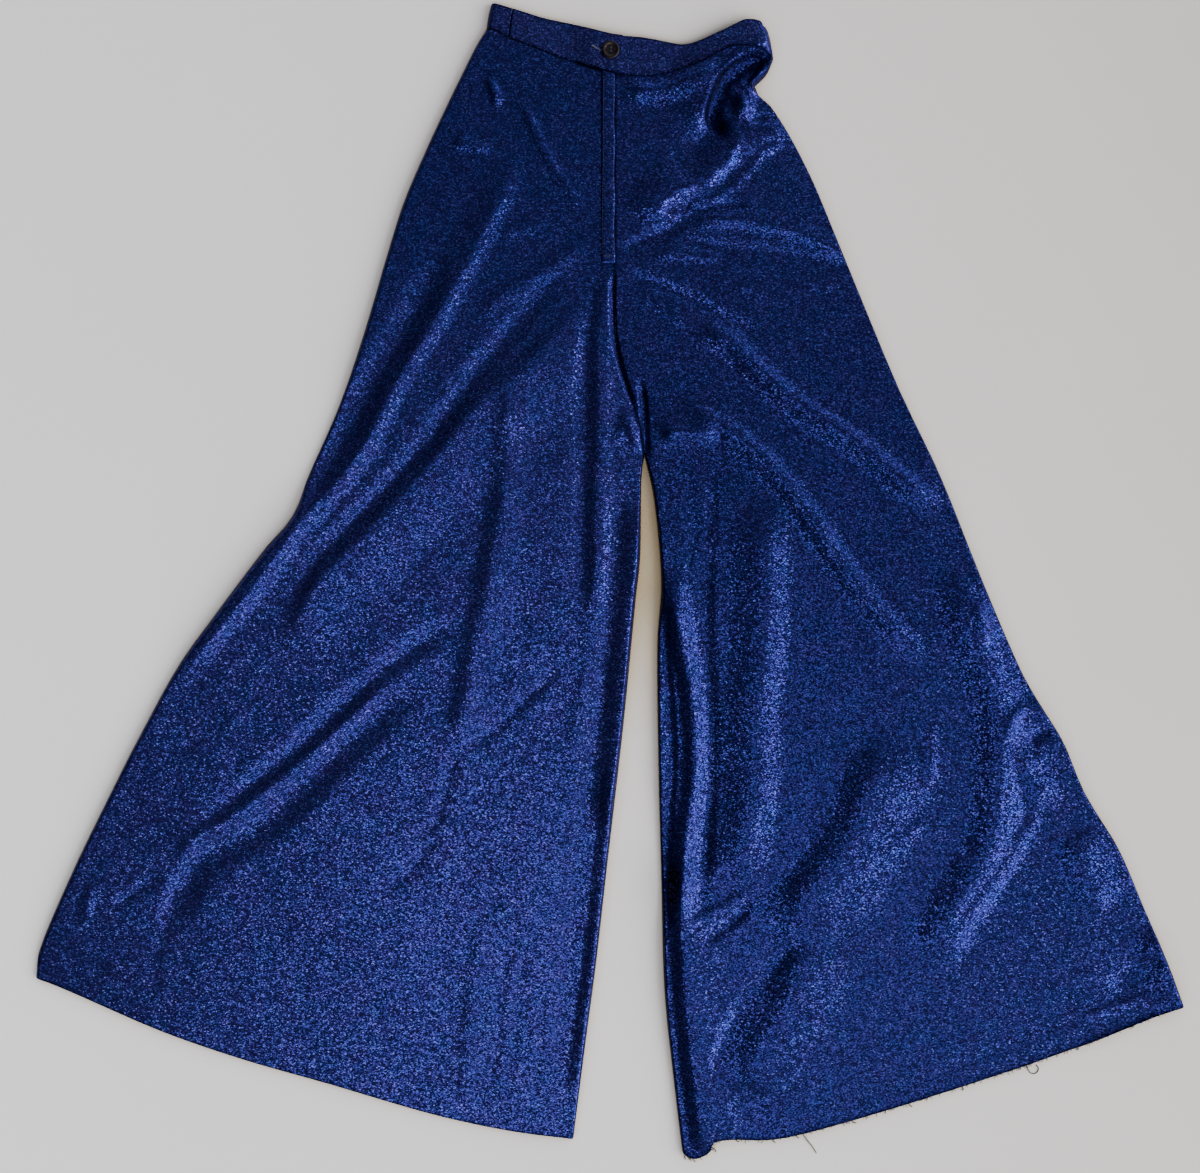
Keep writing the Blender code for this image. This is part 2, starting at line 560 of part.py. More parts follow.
def make_button(look):
    """A round button with a raised rim, a shallow dish and four holes, on the band's lap."""
    under = np.array([
        [BUTTON_PLACE[0] + x, BUTTON_PLACE[1] + y]
        for x in np.linspace(-BUTTON_RADIUS, BUTTON_RADIUS, 5)
        for y in np.linspace(-BUTTON_RADIUS, BUTTON_RADIUS, 5)
    ])
    band = FRONT_Z + drape(under) + lap_lift(under[:, 0]) + BAND_CLOTH * steepness(under)
    base = band.max() + GAP
    profile = (
        (0.0, 0.0), (BUTTON_RADIUS * 0.80, 0.0), (BUTTON_RADIUS, BUTTON_THICK * 0.35),
        (BUTTON_RADIUS, BUTTON_THICK * 0.70), (BUTTON_RADIUS - BUTTON_RIM * 0.4, BUTTON_THICK),
        (BUTTON_RADIUS - BUTTON_RIM, BUTTON_THICK),
        (BUTTON_RADIUS - 1.6 * BUTTON_RIM, BUTTON_THICK - BUTTON_DISH),
        (0.0, BUTTON_THICK - BUTTON_DISH),
    )
    angles = np.linspace(0.0, 2.0 * np.pi, BUTTON_SIDES, endpoint=False)
    vertices = [(0.0, 0.0, profile[0][1])]
    for radius, height in profile[1:-1]:
        vertices += [(radius * np.cos(a), radius * np.sin(a), height) for a in angles]
    vertices.append((0.0, 0.0, profile[-1][1]))
    rings = [range(1 + i * BUTTON_SIDES, 1 + (i + 1) * BUTTON_SIDES) for i in range(len(profile) - 2)]
    faces = []
    for i in range(BUTTON_SIDES):
        j = (i + 1) % BUTTON_SIDES
        faces.append((0, rings[0][j], rings[0][i]))
        faces += [(low[i], low[j], high[j], high[i]) for low, high in zip(rings, rings[1:])]
        faces.append((rings[-1][i], rings[-1][j], len(vertices) - 1))
    mesh = bpy.data.meshes.new("button")
    place = np.array([BUTTON_PLACE[0], BUTTON_PLACE[1], base])
    mesh.from_pydata((np.array(vertices) + place).tolist(), [], faces)
    button = add_object("button", outward(mesh), look)
    corners = ((1.0, 1.0), (-1.0, 1.0), (-1.0, -1.0), (1.0, -1.0))
    half = BUTTON_HOLE_PITCH / 2.0
    for number, (side_x, side_y) in enumerate(corners):
        centre = (BUTTON_PLACE[0] + side_x * half, BUTTON_PLACE[1] + side_y * half)
        cutter = cylinder(
            f"cutter_hole_{number}", BUTTON_HOLE_RADIUS, base - BUTTON_THICK,
            base + 2.0 * BUTTON_THICK, HOLE_SIDES, centre)
        hole = button.modifiers.new(f"hole_{number}", "BOOLEAN")
        hole.operation = "DIFFERENCE"
        hole.solver = "EXACT"
        hole.object = cutter
    return button


def main():
    """Clears the scene and makes every piece."""
    for thing in list(bpy.context.scene.objects):
        bpy.data.objects.remove(thing, do_unlink=True)
    cloth = material("cloth", NAVY, 0.45, 0.35)
    plastic = material("button", DARK_BROWN, 0.30, 0.0)
    make_backs(cloth)
    make_fronts(cloth)
    make_bands(cloth)
    make_fly(cloth)
    make_button(plastic)


main()
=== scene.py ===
"""Looks of the wide-leg trousers: dark blue cloth with metallic thread, laid flat on a pale floor.

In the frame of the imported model, in metres, apart from the edges, folds and loose threads, whose tables
are in millimetres. Each cloth piece is a thin shell on its solid's form: it repeats the solids' edges
and large folds, and adds the small folds, creases and wrinkles.
"""
from typing import NamedTuple

import bpy
import numpy as np
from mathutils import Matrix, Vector


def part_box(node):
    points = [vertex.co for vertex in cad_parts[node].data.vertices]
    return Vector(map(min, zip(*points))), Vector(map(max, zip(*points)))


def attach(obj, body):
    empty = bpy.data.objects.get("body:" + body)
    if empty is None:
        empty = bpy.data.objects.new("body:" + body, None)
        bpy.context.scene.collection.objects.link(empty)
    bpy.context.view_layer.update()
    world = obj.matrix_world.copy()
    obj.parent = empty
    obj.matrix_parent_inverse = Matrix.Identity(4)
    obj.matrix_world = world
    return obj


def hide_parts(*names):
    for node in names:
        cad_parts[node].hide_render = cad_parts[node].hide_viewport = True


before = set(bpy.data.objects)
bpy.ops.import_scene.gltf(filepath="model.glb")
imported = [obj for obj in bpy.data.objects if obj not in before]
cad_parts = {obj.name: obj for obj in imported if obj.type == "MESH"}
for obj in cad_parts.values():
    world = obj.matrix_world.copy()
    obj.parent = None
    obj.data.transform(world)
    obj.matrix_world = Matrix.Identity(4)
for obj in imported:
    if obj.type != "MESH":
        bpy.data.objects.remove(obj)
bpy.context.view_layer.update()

# Millimetres in a metre, and the decimals of a metre that the tables keep
MM = 1000.0
DECIMALS = 6


def metres(*sizes):
    """Sizes or points given in millimetres, in metres."""
    return np.round(np.array(sizes) / MM, DECIMALS)


# Cloth and seams, as in the solids
CLOTH = 0.0015
BAND_CLOTH = 0.0020
LAP_CLOTH = 0.0012
GAP = 0.0003
FRONT_Z = CLOTH + GAP
SHELL = 0.0007
BAND_SHELL = 0.0014

# How high the front layer lies over the back layer between its folds
LOFT = 0.0045
HEM_LOFT = 0.0020
HEM_SOFT = 0.20
CLAMP = 0.0020
ROLL_LEAST = 0.005
ROLL_MOST = 0.024
ROLL_SHARE = 1.2
RIM_DROP = 0.0016
RIM_DROP_WIDTH = 0.004

# Waves of the cloth as (wavelength, depth, seed), their lie on each leg, and how they calm at the waist
WAVES = ((0.075, 0.0010, 11), (0.034, 0.00042, 12), (0.016, 0.00014, 13))
WAVE_TURN_RIGHT = 1.05
WAVE_TURN_LEFT = 1.95
WAVE_STRETCH = 1.8
LEFT_SEED_STEP = 10
LEG_CHANGE = (-0.05, 0.15)
CALM_START = 0.42
CALM_RUN = 0.35
CALM_LEAST = 0.35
LATTICE = 64

# Back layer: how far its top lies under the solids', its pressed creases and their waves
BACK_SINK = 0.0002
BACK_CREASE = 0.0005
BACK_WAVE_TURN = 1.3
BACK_WAVE_STRETCH = 2.5
BACK_WAVELENGTH = 0.05
BACK_SEED = 31

# Waistband, fly lap and button, as in the solids
LAP_END = 0.013
UNDERLAP_END = -0.012
BAND_EDGE = 0.72
BAND_PUFF = 0.33
LAP_RISE_START = -0.040
LAP_RISE_END = -0.0135
LAP_RISE = 0.0029
SIDE_SEAM_TOP = -0.0970
SIDE_SEAM_FOOT = -0.1010
FLY_LEFT = -0.0080
FLY_RIGHT = 0.0052
FLY_FOOT = 0.3170
FLY_GAP = 0.0005
FLY_EDGE = 0.45
FLY_ROUND = 0.4
FLY_WAVER = 0.0006
FLY_WAVES = 21.0
BUTTON_PLACE = (0.001, 0.5285)
BUTTON_RADIUS = 0.009

# Button's turned form as (radius, height above its foot), its four holes and its thread
BUTTON_PROFILE = (
    (0.0, 0.00175), (0.0030, 0.00172), (0.0052, 0.00185), (0.0062, 0.00230), (0.0072, 0.00262),
    (0.0081, 0.00248), (0.0087, 0.00195), (0.0090, 0.00130),
)
HOLE_SPACING = 0.0015
HOLE_RADIUS = 0.00095
HOLE_DEPTH = 0.0011
BUTTON_RINGS = 40
BUTTON_SIDES = 96
BUTTON_CROWDING = 0.8
BUTTON_FOOT = 0.96
HOLE_SOFT = 0.35
THREAD_APART = 0.00018
THREAD_SEAT = 0.00176
THREAD_ARCH = 0.00022 * np.array([-3.0, 0.6, 1.0, 1.1, 1.0, 0.6, -3.0])
BUTTON_THREAD_RADIUS = 0.00020

# Sewing and loose threads, radii
SEWING_RADIUS = 0.00016
BUTTONHOLE_RADIUS = 0.00020
FIBRE_RADIUS = 0.00025
THREAD_RADIUS = 0.00045
STITCH_PITCH = 0.0030
STITCH_SHARE = 0.72
STITCH_MARKS = np.array([-0.5, -0.25, 0.0, 0.25, 0.5])
STITCH_RISE = np.array([-0.7, 0.5, 0.7, 0.5, -0.7])

# Sewing lines on the leg panels and the band, as (x, y)
FLY_STITCHING = (
    ((-0.0058, 0.5045), (-0.0062, 0.4300), (-0.0072, 0.3700), (-0.0075, 0.3255)),
    ((0.0040, 0.5025), (0.0040, 0.4300), (0.0034, 0.3700), (0.0030, 0.3255)),
)
FLY_BAR = ((-0.0066, 0.3235), (0.0028, 0.3235))
BAR_COURSES = 3
BAR_STEP = 0.0006
BAR_PITCH = 0.0022
BAR_SHARE = 0.95
BUTTONHOLE = ((-0.0175, 0.5335), (-0.0085, 0.5283))
BUTTONHOLE_COUNT = 22
BUTTONHOLE_REACH = 0.00042
BUTTONHOLE_MARKS = (-0.00042, -0.00014, 0.00014, 0.00042)
BUTTONHOLE_RISE = np.array([-0.5, 0.7, 0.7, -0.5])

# Raw hem: where its fringe starts and ends along the hem, and its fibres
FRINGE_SHARES = (0.004, 0.985)
FRINGE_COUNT = 900
FRINGE_LENGTH = (0.0006, 0.0056)
FRINGE_SEED = 7
FRINGE_SKEW = 2.6
FRINGE_SLANT = 0.75
FRINGE_CURL = 0.9
FRINGE_TOPS = (0.0007, 0.0026)
FRINGE_STEPS = np.array([-0.25, 0.0, 0.35, 0.7, 1.0])
FRINGE_REST = 0.0003
FRINGE_SEAT = 0.0001
HEM_STEP = 0.002

# Loose threads as courses of (x, y, z) in millimetres
LOOSE_THREADS = (
    ((194, -554, 2), (198, -560, 0.8), (203.5, -567, 0.4), (207.5, -573.5, 0.4)),
    ((186, -553, 2), (188, -557, 0.6), (190, -558.5, 0.4)),
    ((417, -480, 2), (418, -485.5, 0.6), (421.5, -492.5, 0.4), (427, -493.5, 0.4), (430, -489, 0.4),
     (427.5, -484.5, 0.4)),
    ((464, -465.5, 2), (466.5, -468, 0.5), (469, -467.2, 0.4)),
    ((469, -466, 1.8), (470, -469, 0.4), (468, -470, 0.4)),
    ((76, -573.5, 1.8), (75.5, -577, 0.6), (76.2, -580, 0.4)),
    ((101, -566, 1.8), (106, -570, 0.5), (106.5, -572.5, 0.4)),
    ((124, -557, 1.8), (127.5, -561, 0.5), (130, -562.2, 0.4)),
    ((165, -557.5, 1.8), (164, -561, 0.5), (166.5, -563.2, 0.4)),
    ((242, -539.5, 1.8), (244, -542.5, 0.5), (247.5, -543.2, 0.4)),
    ((300, -522, 1.8), (300.5, -525.2, 0.5), (303.5, -527, 0.4)),
    ((352, -506, 1.8), (354.8, -508.8, 0.5), (353.2, -510.6, 0.4)),
    ((521, -444, 1.8), (522.8, -446.8, 0.5), (525.6, -447, 0.4)),
)

# Grids
PANEL_COLUMNS = 144
PANEL_ROWS = 290
BACK_COLUMNS = 48
BACK_ROWS = 96
BAND_ROWS = 14
SIDE_COLUMNS = 14
BAND_RIGHT_COLUMNS = 60
BAND_LEFT_COLUMNS = 110
BAND_BACK_COLUMNS = 60
BAND_BACK_ROWS = 8
FLY_COLUMNS = 10
FLY_ROWS = 90
RIM_CROWDING = 0.11
HEM_ROWS = (0.0006, 0.0012, 0.0019, 0.0027)

# Name of the stored nearness to a piece's edges, its reach and the tone of the cloth there: a painted
# shade that darkens the cloth along every edge and seam
PAINTED_SHADE_LAYER = "edge"
EDGE_SHADE_WIDTH = 0.0016
RAW_EDGE_SHADE_WIDTH = 0.0028
EDGE_STEPS = 60
PAINTED_EDGE_SHADE_TONE = (0.16, 0.17, 0.22)

# Deep pinch beside the waistband, as (x, y) in millimetres, with its reach and share of the edge tone: a
# painted shade where the folded cloth overhangs the pinch
PINCH = metres(
    (154, 521), (141, 519), (128, 512), (116, 501), (108, 488), (104, 472), (106, 458), (113, 450),
)
PINCH_SHADE_WIDTH = 0.0110
PINCH_SHADE = 0.96
CURVE_STEPS = 8
FOLD_STEPS = 4
RIM_STEPS = 3

# Metallic thread: cells of a fine mosaic, each with its own tone, metal and tilt
FLECK_SCALE = 1050.0
FLECK_STRETCH = (0.75, 1.0, 1.0)
FLECK_ROUGH = 0.30
EDGE_SHEEN = (0.10, 0.14, 0.42)
FLECK_TILT = 0.38
FLECK_TONES = (
    (0.0, (0.0040, 0.0042, 0.0280)), (0.44, (0.0058, 0.0066, 0.0440)), (0.56, (0.0100, 0.0130, 0.0880)),
    (0.86, (0.0185, 0.0245, 0.1540)), (1.0, (0.0400, 0.0560, 0.2300)),
)
FLECK_METAL = ((0.0, (0.05, 0.05, 0.05)), (0.44, (0.35, 0.35, 0.35)), (0.56, (0.90, 0.90, 0.90)))
FLECK_SPECULAR = 0.10
PATCH_SCALE = 60.0
PATCH_DETAIL = 3.0
PATCH_TINTS = ((0.32, (0.88, 1.08, 1.00)), (0.50, (1.0, 1.0, 1.0)), (0.70, (1.14, 0.96, 1.00)))

# Painted sheen: gain in colour along the garment, standing in for the light that it catches: shares of its
# length from hem to waist, and colours
PAINTED_SHEEN_ENDS = (-0.60, 0.60)
RIGHT_LEG_PAINTED_SHEEN = ((0.56, (1.60, 1.36, 1.34)), (0.84, (1.12, 1.08, 1.12)), (1.0, (1.18, 1.08, 1.12)))
LEFT_LEG_PAINTED_SHEEN = ((0.0, (1.04, 0.94, 0.98)), (0.60, (1.02, 0.93, 0.98)), (0.90, (1.25, 1.10, 1.14)))
BAND_PAINTED_SHEEN = ((0.0, (1.75, 1.42, 1.32)), (1.0, (1.75, 1.42, 1.32)))

# Tones of the threads and the button
SEWING_TONE = (0.018, 0.024, 0.100)
BUTTONHOLE_TONE = (0.110, 0.140, 0.215)
BUTTON_THREAD_TONE = (0.020, 0.024, 0.070)
FIBRE_TONE = (0.010, 0.012, 0.040)
LOOSE_TONE = (0.045, 0.042, 0.050)
THREAD_NOISE = 900.0
THREAD_DARK = 0.6
THREAD_LIGHT = 1.3
HORN_TONES = (
    (0.35, (0.0030, 0.0018, 0.0028)), (0.55, (0.0085, 0.0048, 0.0046)), (0.75, (0.0300, 0.0190, 0.0140)),
)
HORN_SCALE = 260.0
HORN_DETAIL = 5.0
HORN_STREAKS = 1.6
HORN_ROUGH = 0.30
HORN_SPECULAR = 0.22

# Lights: name, place, target, size, watts, colour
LIGHTS = (
    ("key", (8.6, -3.0, 5.0), (0.0, 0.0, 0.0), (9.0, 6.4), 1250.0, (1.0, 0.985, 0.96)),
    ("sheen", (0.42, -1.15, 2.6), (0.1, -0.2, 0.0), (1.5, 1.1), 27.0, (0.94, 0.96, 1.0)),
)
AIR_BY_HEIGHT = (
    (0.0, (0.73, 0.74, 0.78)), (0.30, (0.57, 0.58, 0.61)), (0.52, (0.20, 0.20, 0.215)),
    (0.78, (0.095, 0.095, 0.105)), (1.0, (0.135, 0.135, 0.15)),
)
AIR_SIDE = 0.55
AIR_STRENGTH = 6.0

# Camera and floor
CAMERA_PLACE = (-0.0095, -0.0055)
VIEW_WIDTH = 1.2
LENS_MM = 50.0
SENSOR_MM = 36.0
VIEW_LEVEL = 0.004
FLOOR_SIZE = 9.0
# Painted falloff of light across the floor and its slant, then the floor's uneven tone and roughness
PAINTED_FLOOR_FALLOFF = 0.55
PAINTED_FALLOFF_SLANT = 0.18
FLOOR_UNEVEN = 0.10
FLOOR_NOISE = 3.0
FLOOR_DETAIL = 6.0
FLOOR_ROUGH = 0.75

# Painted warm shadow on the floor in the narrow gap between the legs, and painted contact shadow where the
# cloth lies close to it
PAINTED_GAP_SHADOW_PLACE = (0.035, 0.030, 0.0)
PAINTED_GAP_SHADOW_STRETCH = (5.0, 5.2, 1.0)
PAINTED_GAP_SHADOW_TONES = ((0.20, (0.66, 0.56, 0.37)), (0.55, (0.82, 0.74, 0.60)), (1.0, (1.0, 1.0, 1.0)))
PAINTED_CONTACT_SHADOW_REACH = 0.045
PAINTED_CONTACT_SHADOW_TONES = ((0.50, (0.74, 0.65, 0.50)), (0.95, (1.0, 1.0, 1.0)))
# Floor tones, from pale to the darker, warmer end of the painted falloff
FLOOR_TONES = ((0.15, (0.99, 0.965, 0.960)), (0.95, (0.68, 0.64, 0.605)))

# Edges of the garment as (x, y) in millimetres: sides run down from the waist, hems run in from the side,
# and the band's long edges run from left to right
OUTER_RIGHT = metres(
    (-123, 552), (-134, 534), (-146, 510), (-158, 485.5), (-180, 439), (-205, 381), (-222, 328),
    (-245, 250), (-270.5, 175), (-300, 108), (-317, 65.5), (-347.4, 29), (-393.4, -32), (-432, -86),
    (-470, -155), (-501, -216), (-536.4, -289), (-568.6, -364), (-574, -396.8),
)
OUTER_LEFT = metres(
    (164, 522), (158, 508), (151, 500), (145, 493.5), (150.6, 484.5), (158, 478), (165, 470), (183, 441),
    (204, 399.3), (222, 356.4), (249, 290.4), (290, 192), (332, 103.3), (373, 1.2), (407.6, -80),
    (426, -115), (454, -160.7), (476, -212.5), (509.5, -268), (535, -327), (557.6, -379), (574, -423.4),
)
CENTRE_FRONT = metres(
    (5.5, 507), (5.5, 318), (5.5, 279), (8, 226), (18, 193), (29, 160), (35, 125),
)
INSEAM_RIGHT = metres(
    (35, 125), (32, 99), (31, 26), (26, -23), (14, -146), (-2, -284), (-13, -381), (-24, -464),
    (-36, -557.5),
)
INSEAM_LEFT = metres(
    (35, 125), (45, 79), (52, -1), (48, -64), (49, -180), (52, -298), (55, -409), (65, -505),
    (73, -571.6),
)
HEM_RIGHT = metres(
    (-574, -396.8), (-543, -408.6), (-452, -448), (-373, -476), (-274, -504.5), (-175, -533.5),
    (-96, -550), (-36, -557.5),
)
HEM_LEFT = metres(
    (574, -423.4), (546, -434.5), (454, -471), (343, -508.5), (232, -542), (165, -558), (121, -558),
    (104, -561), (100.6, -570), (89.5, -576.8), (80, -576.8), (73, -571.6),
)
BAND_TOP = metres(
    (-118, 577.6), (-89, 569), (-65, 561.5), (-33, 554.5), (2.6, 545.3), (36, 542), (67, 536), (79, 536),
    (92, 540), (108, 547), (119, 552), (132, 558.3), (138, 559.4), (147, 558), (154, 555),
)
BAND_END = metres((154, 555), (158, 551), (161, 541), (163, 530), (164, 522))
BAND_START = metres((-118, 577.6), (-121, 565), (-123, 552))
WAIST_SEAM = metres(
    (-123, 552), (-113, 549), (-101, 542.5), (-76, 533), (-51, 523), (-17, 513), (5.5, 507), (25, 504.4),
    (42, 504.4), (64, 509), (92, 518), (114, 529), (125, 532), (143, 531), (153, 529), (164, 522),
)
# Edges where the cloth rolls down, and the share of the usual width that the roll takes there
ROLLED_EDGES = (
    (BAND_START, 1.0), (OUTER_RIGHT, 0.8), (INSEAM_RIGHT, 0.35), (INSEAM_LEFT, 0.5), (OUTER_LEFT, 0.4),
    (BAND_END, 0.4),
)


class Fold(NamedTuple):
    """A ridge, or a hollow where rise is negative, along a smooth course. Sizes are in millimetres."""

    course: tuple   # points (x, y) that it runs through
    rise: float
    left: float     # width of the flank on the left of its course
    right: float
    crest: float    # from 0, round, to 1, a sharp crease
    fade: float     # share of its length over which each end dies away


RIGHT_LEG_FOLDS = (
    # long ridge from the hip
    Fold((
        (-91, 440), (-102, 395), (-120, 360), (-134, 332), (-150, 302), (-179, 250), (-212, 200),
        (-242, 138), (-284, 86), (-307, 60), (-334, 22), (-371, -26), (-409, -73), (-438, -110),
    ), 4.6, 17.6, 32, 0.5, 0.12),
    # hollow outside it
    Fold((
        (-158, 330), (-182, 290), (-212, 235), (-244, 182), (-270, 132), (-298, 85), (-318, 60),
    ), -4.5, 22, 26, 0.25, 0.2),
    # hollow across the thigh
    Fold((
        (-28, 310), (-64, 288), (-90, 258), (-128, 214), (-168, 158), (-210, 106), (-258, 52), (-292, 18),
        (-310, -16),
    ), -3.6, 16, 17, 0.25, 0.2),
    # ridge across the thigh
    Fold((
        (-16, 286), (-48, 250), (-82, 214), (-130, 176), (-170, 126), (-212, 82), (-258, 36), (-288, 2),
        (-308, -36), (-328, -84),
    ), 5.7, 67.2, 17, 0.25, 0.2),
    # upper of two hollows below the knee
    Fold((
        (-138, -37), (-170, -52), (-198, -68), (-238, -100), (-288, -144), (-338, -188), (-382, -220),
        (-420, -250),
    ), -3.8, 16, 15, 0.25, 0.2),
    # thin ridge between them
    Fold((
        (-205, -80), (-230, -108), (-275, -153), (-328, -197), (-380, -237), (-418, -258), (-426, -280),
        (-436, -306),
    ), 2.3, 9.6, 9, 0.6, 0.2),
    # lower of two hollows
    Fold((
        (-186, -92), (-222, -126), (-274, -174), (-320, -218), (-370, -258), (-408, -278), (-424, -304),
        (-442, -334), (-466, -354),
    ), -5.2, 26, 18, 0.25, 0.2),
    # pressed edge down the leg
    Fold((
        (-104, 195), (-102, 150), (-107, 80), (-120, 0), (-132, -60), (-142, -110), (-152, -166),
    ), 4.3, 32, 20, 0.5, 0.1),
    # hollow left of the centre front
    Fold((
        (-10, 295), (-20, 250), (-26, 208), (-28, 155), (-27, 105), (-30, 55), (-30, 10), (-24, -30),
    ), -2.4, 24, 14, 0.25, 0.15),
    # ridge of the centre front
    Fold((
        (1, 318), (-1, 295), (-7, 268), (-11, 235), (-10, 180), (-11, 130), (-13, 80), (-14, 20),
        (-18, -50),
    ), 3.2, 19.2, 15, 0.3, 0.12),
    # hollow along the inseam
    Fold((
        (22, 100), (4, 45), (-2, -5), (-7, -55), (-12, -105), (-17, -155), (-22, -210), (-28, -260),
        (-36, -320), (-42, -380), (-48, -450), (-52, -500),
    ), -1.6, 30, 17, 0.25, 0.07),
    # rim of the inseam
    Fold(((30, 94), (26, 26), (21, -23), (10, -146), (-4, -260)), 5.3, 8, 23, 0.2, 0.12),
    # its gentler end
    Fold(((6, -170), (-6, -284), (-17, -381), (-28, -464), (-38, -540)), 2.6, 8, 12, 0.3, 0.15),
    # swell beside it
    Fold((
        (2, 75), (-4, 20), (-10, -30), (-18, -80), (-30, -140), (-38, -210),
    ), 1.4, 19.2, 16, 0.25, 0.2),
)
LEFT_LEG_FOLDS = (
    # edge of the front over the inseam
    Fold((
        (58, 20), (64, -20), (72, -60), (80, -100), (84, -140), (85, -175), (83, -210), (78, -245),
        (74, -280), (72, -325), (74, -360),
    ), 7, 20.3, 15.3, 0.4, 0.16),
    # rolled edge below it
    Fold((
        (74, -270), (72, -320), (74, -370), (77, -420), (82, -470), (88, -520), (97, -580),
    ), 5.7, 51.3, 16.1, 0.25, 0.1),
    # hollow outside it
    Fold((
        (50, -10), (54, -60), (59, -120), (62, -180), (58, -240), (54, -300), (54, -370),
    ), -3, 8, 15, 0.25, 0.2),
    # valley between the ridges
    Fold((
        (99, 140), (99, 80), (96, 20), (96, -60), (99, -140), (97, -220), (93, -300), (90, -380),
    ), -3.4, 12, 30, 0.25, 0.18),
    # small ridge beside the crotch
    Fold(((90, 115), (93, 70), (93, 30), (86, 0)), 2, 13, 13, 0.25, 0.2),
    # ridge down the middle of the leg
    Fold((
        (153, 90), (154, 40), (155, 0), (154, -40), (150, -85), (145, -125), (145, -170), (143, -210),
        (137, -245), (133, -280), (136, -320),
    ), 6.8, 32.4, 39.1, 0.25, 0.14),
    # curved ridge above the hem
    Fold((
        (278, -148), (266, -182), (256, -215), (240, -255), (214, -292), (187, -324), (160, -354),
    ), 8.4, 70.2, 32.3, 0.25, 0.22),
    # short ridge
    Fold(((78, -342), (102, -331), (128, -317), (142, -306)), 2.6, 7, 7, 0.25, 0.2),
    # short hollow
    Fold(((90, -358), (108, -350), (128, -336), (144, -319)), -3.4, 8, 8, 0.25, 0.2),
    # ridge above the hem
    Fold((
        (202, -352), (193, -385), (178, -420), (160, -450), (144, -478), (122, -508),
    ), 6.6, 56.7, 27.2, 0.25, 0.2),
    # hollow beside it
    Fold((
        (186, -360), (160, -388), (140, -412), (125, -440), (110, -470), (102, -502),
    ), -2.6, 12, 12, 0.25, 0.2),
    # ridge near the outer seam
    Fold((
        (340, 20), (349, -18), (361, -56), (374, -93), (385, -125), (388, -165), (386, -210), (380, -255),
        (364, -290), (344, -325), (326, -360), (310, -396),
    ), 7.7, 36.5, 29.7, 0.25, 0.14),
    # second ridge beside it
    Fold((
        (432, -215), (412, -258), (395, -288), (376, -313), (353, -345), (332, -378),
    ), 2.2, 11, 10, 0.25, 0.2),
    # swell by the outer seam
    Fold(((408, -158), (416, -185), (424, -210), (426, -235)), 4.8, 32.4, 13.6, 0.25, 0.35),
    # bow above it
    Fold(((392, -165), (402, -136), (424, -126), (442, -142)), 2.6, 9, 9, 0.25, 0.2),
    # hollow under the bow
    Fold(((418, -162), (430, -152), (442, -150)), -3.2, 9, 9, 0.25, 0.2),
    # lower swell by the outer seam
    Fold(((456, -246), (469, -280), (482, -308), (504, -330)), 5.5, 37.8, 23.8, 0.25, 0.3),
    # bump at the outer seam
    Fold(((362, -16), (370, -40), (376, -66)), 3.4, 16, 10, 0.25, 0.35),
    # long ridge over the thigh
    Fold((
        (82, 248), (116, 241), (138, 222), (158, 203), (178, 185), (206, 165), (239, 143), (272, 117),
        (297, 96), (334, 76),
    ), 7.2, 15.5, 18, 0.20, 0.12),
    # second ridge over the thigh
    Fold((
        (61, 183), (87, 169), (114, 154), (139, 135), (164, 112), (186, 84), (209, 52), (234, 14),
        (260, -19), (286, -48), (321, -81),
    ), 6.2, 15.5, 18, 0.20, 0.14),
    # ridge at the hip
    Fold((
        (80, 358), (112, 360), (140, 358), (168, 352), (196, 344), (222, 332), (246, 318),
    ), 4.1, 18, 10.8, 0.35, 0.18),
    # hollow under it
    Fold(((54, 350), (80, 337), (130, 330), (190, 322), (246, 308)), -2.6, 12, 10, 0.25, 0.2),
    # hollow from the fly
    Fold(((8, 308), (35, 300), (75, 284), (120, 260), (158, 242)), -2.8, 9, 9, 0.25, 0.2),
    # soft ridge below the fly
    Fold(((42, 327), (80, 327), (114, 324)), 2, 8, 10, 0.25, 0.2),
    # edge at the crotch
    Fold(((42, 148), (65, 150), (85, 152), (112, 148)), 3.2, 24, 18, 0.25, 0.3),
    # bump at the crotch
    Fold(((2, 152), (20, 150), (40, 148)), 2.8, 14, 15, 0.25, 0.3),
)
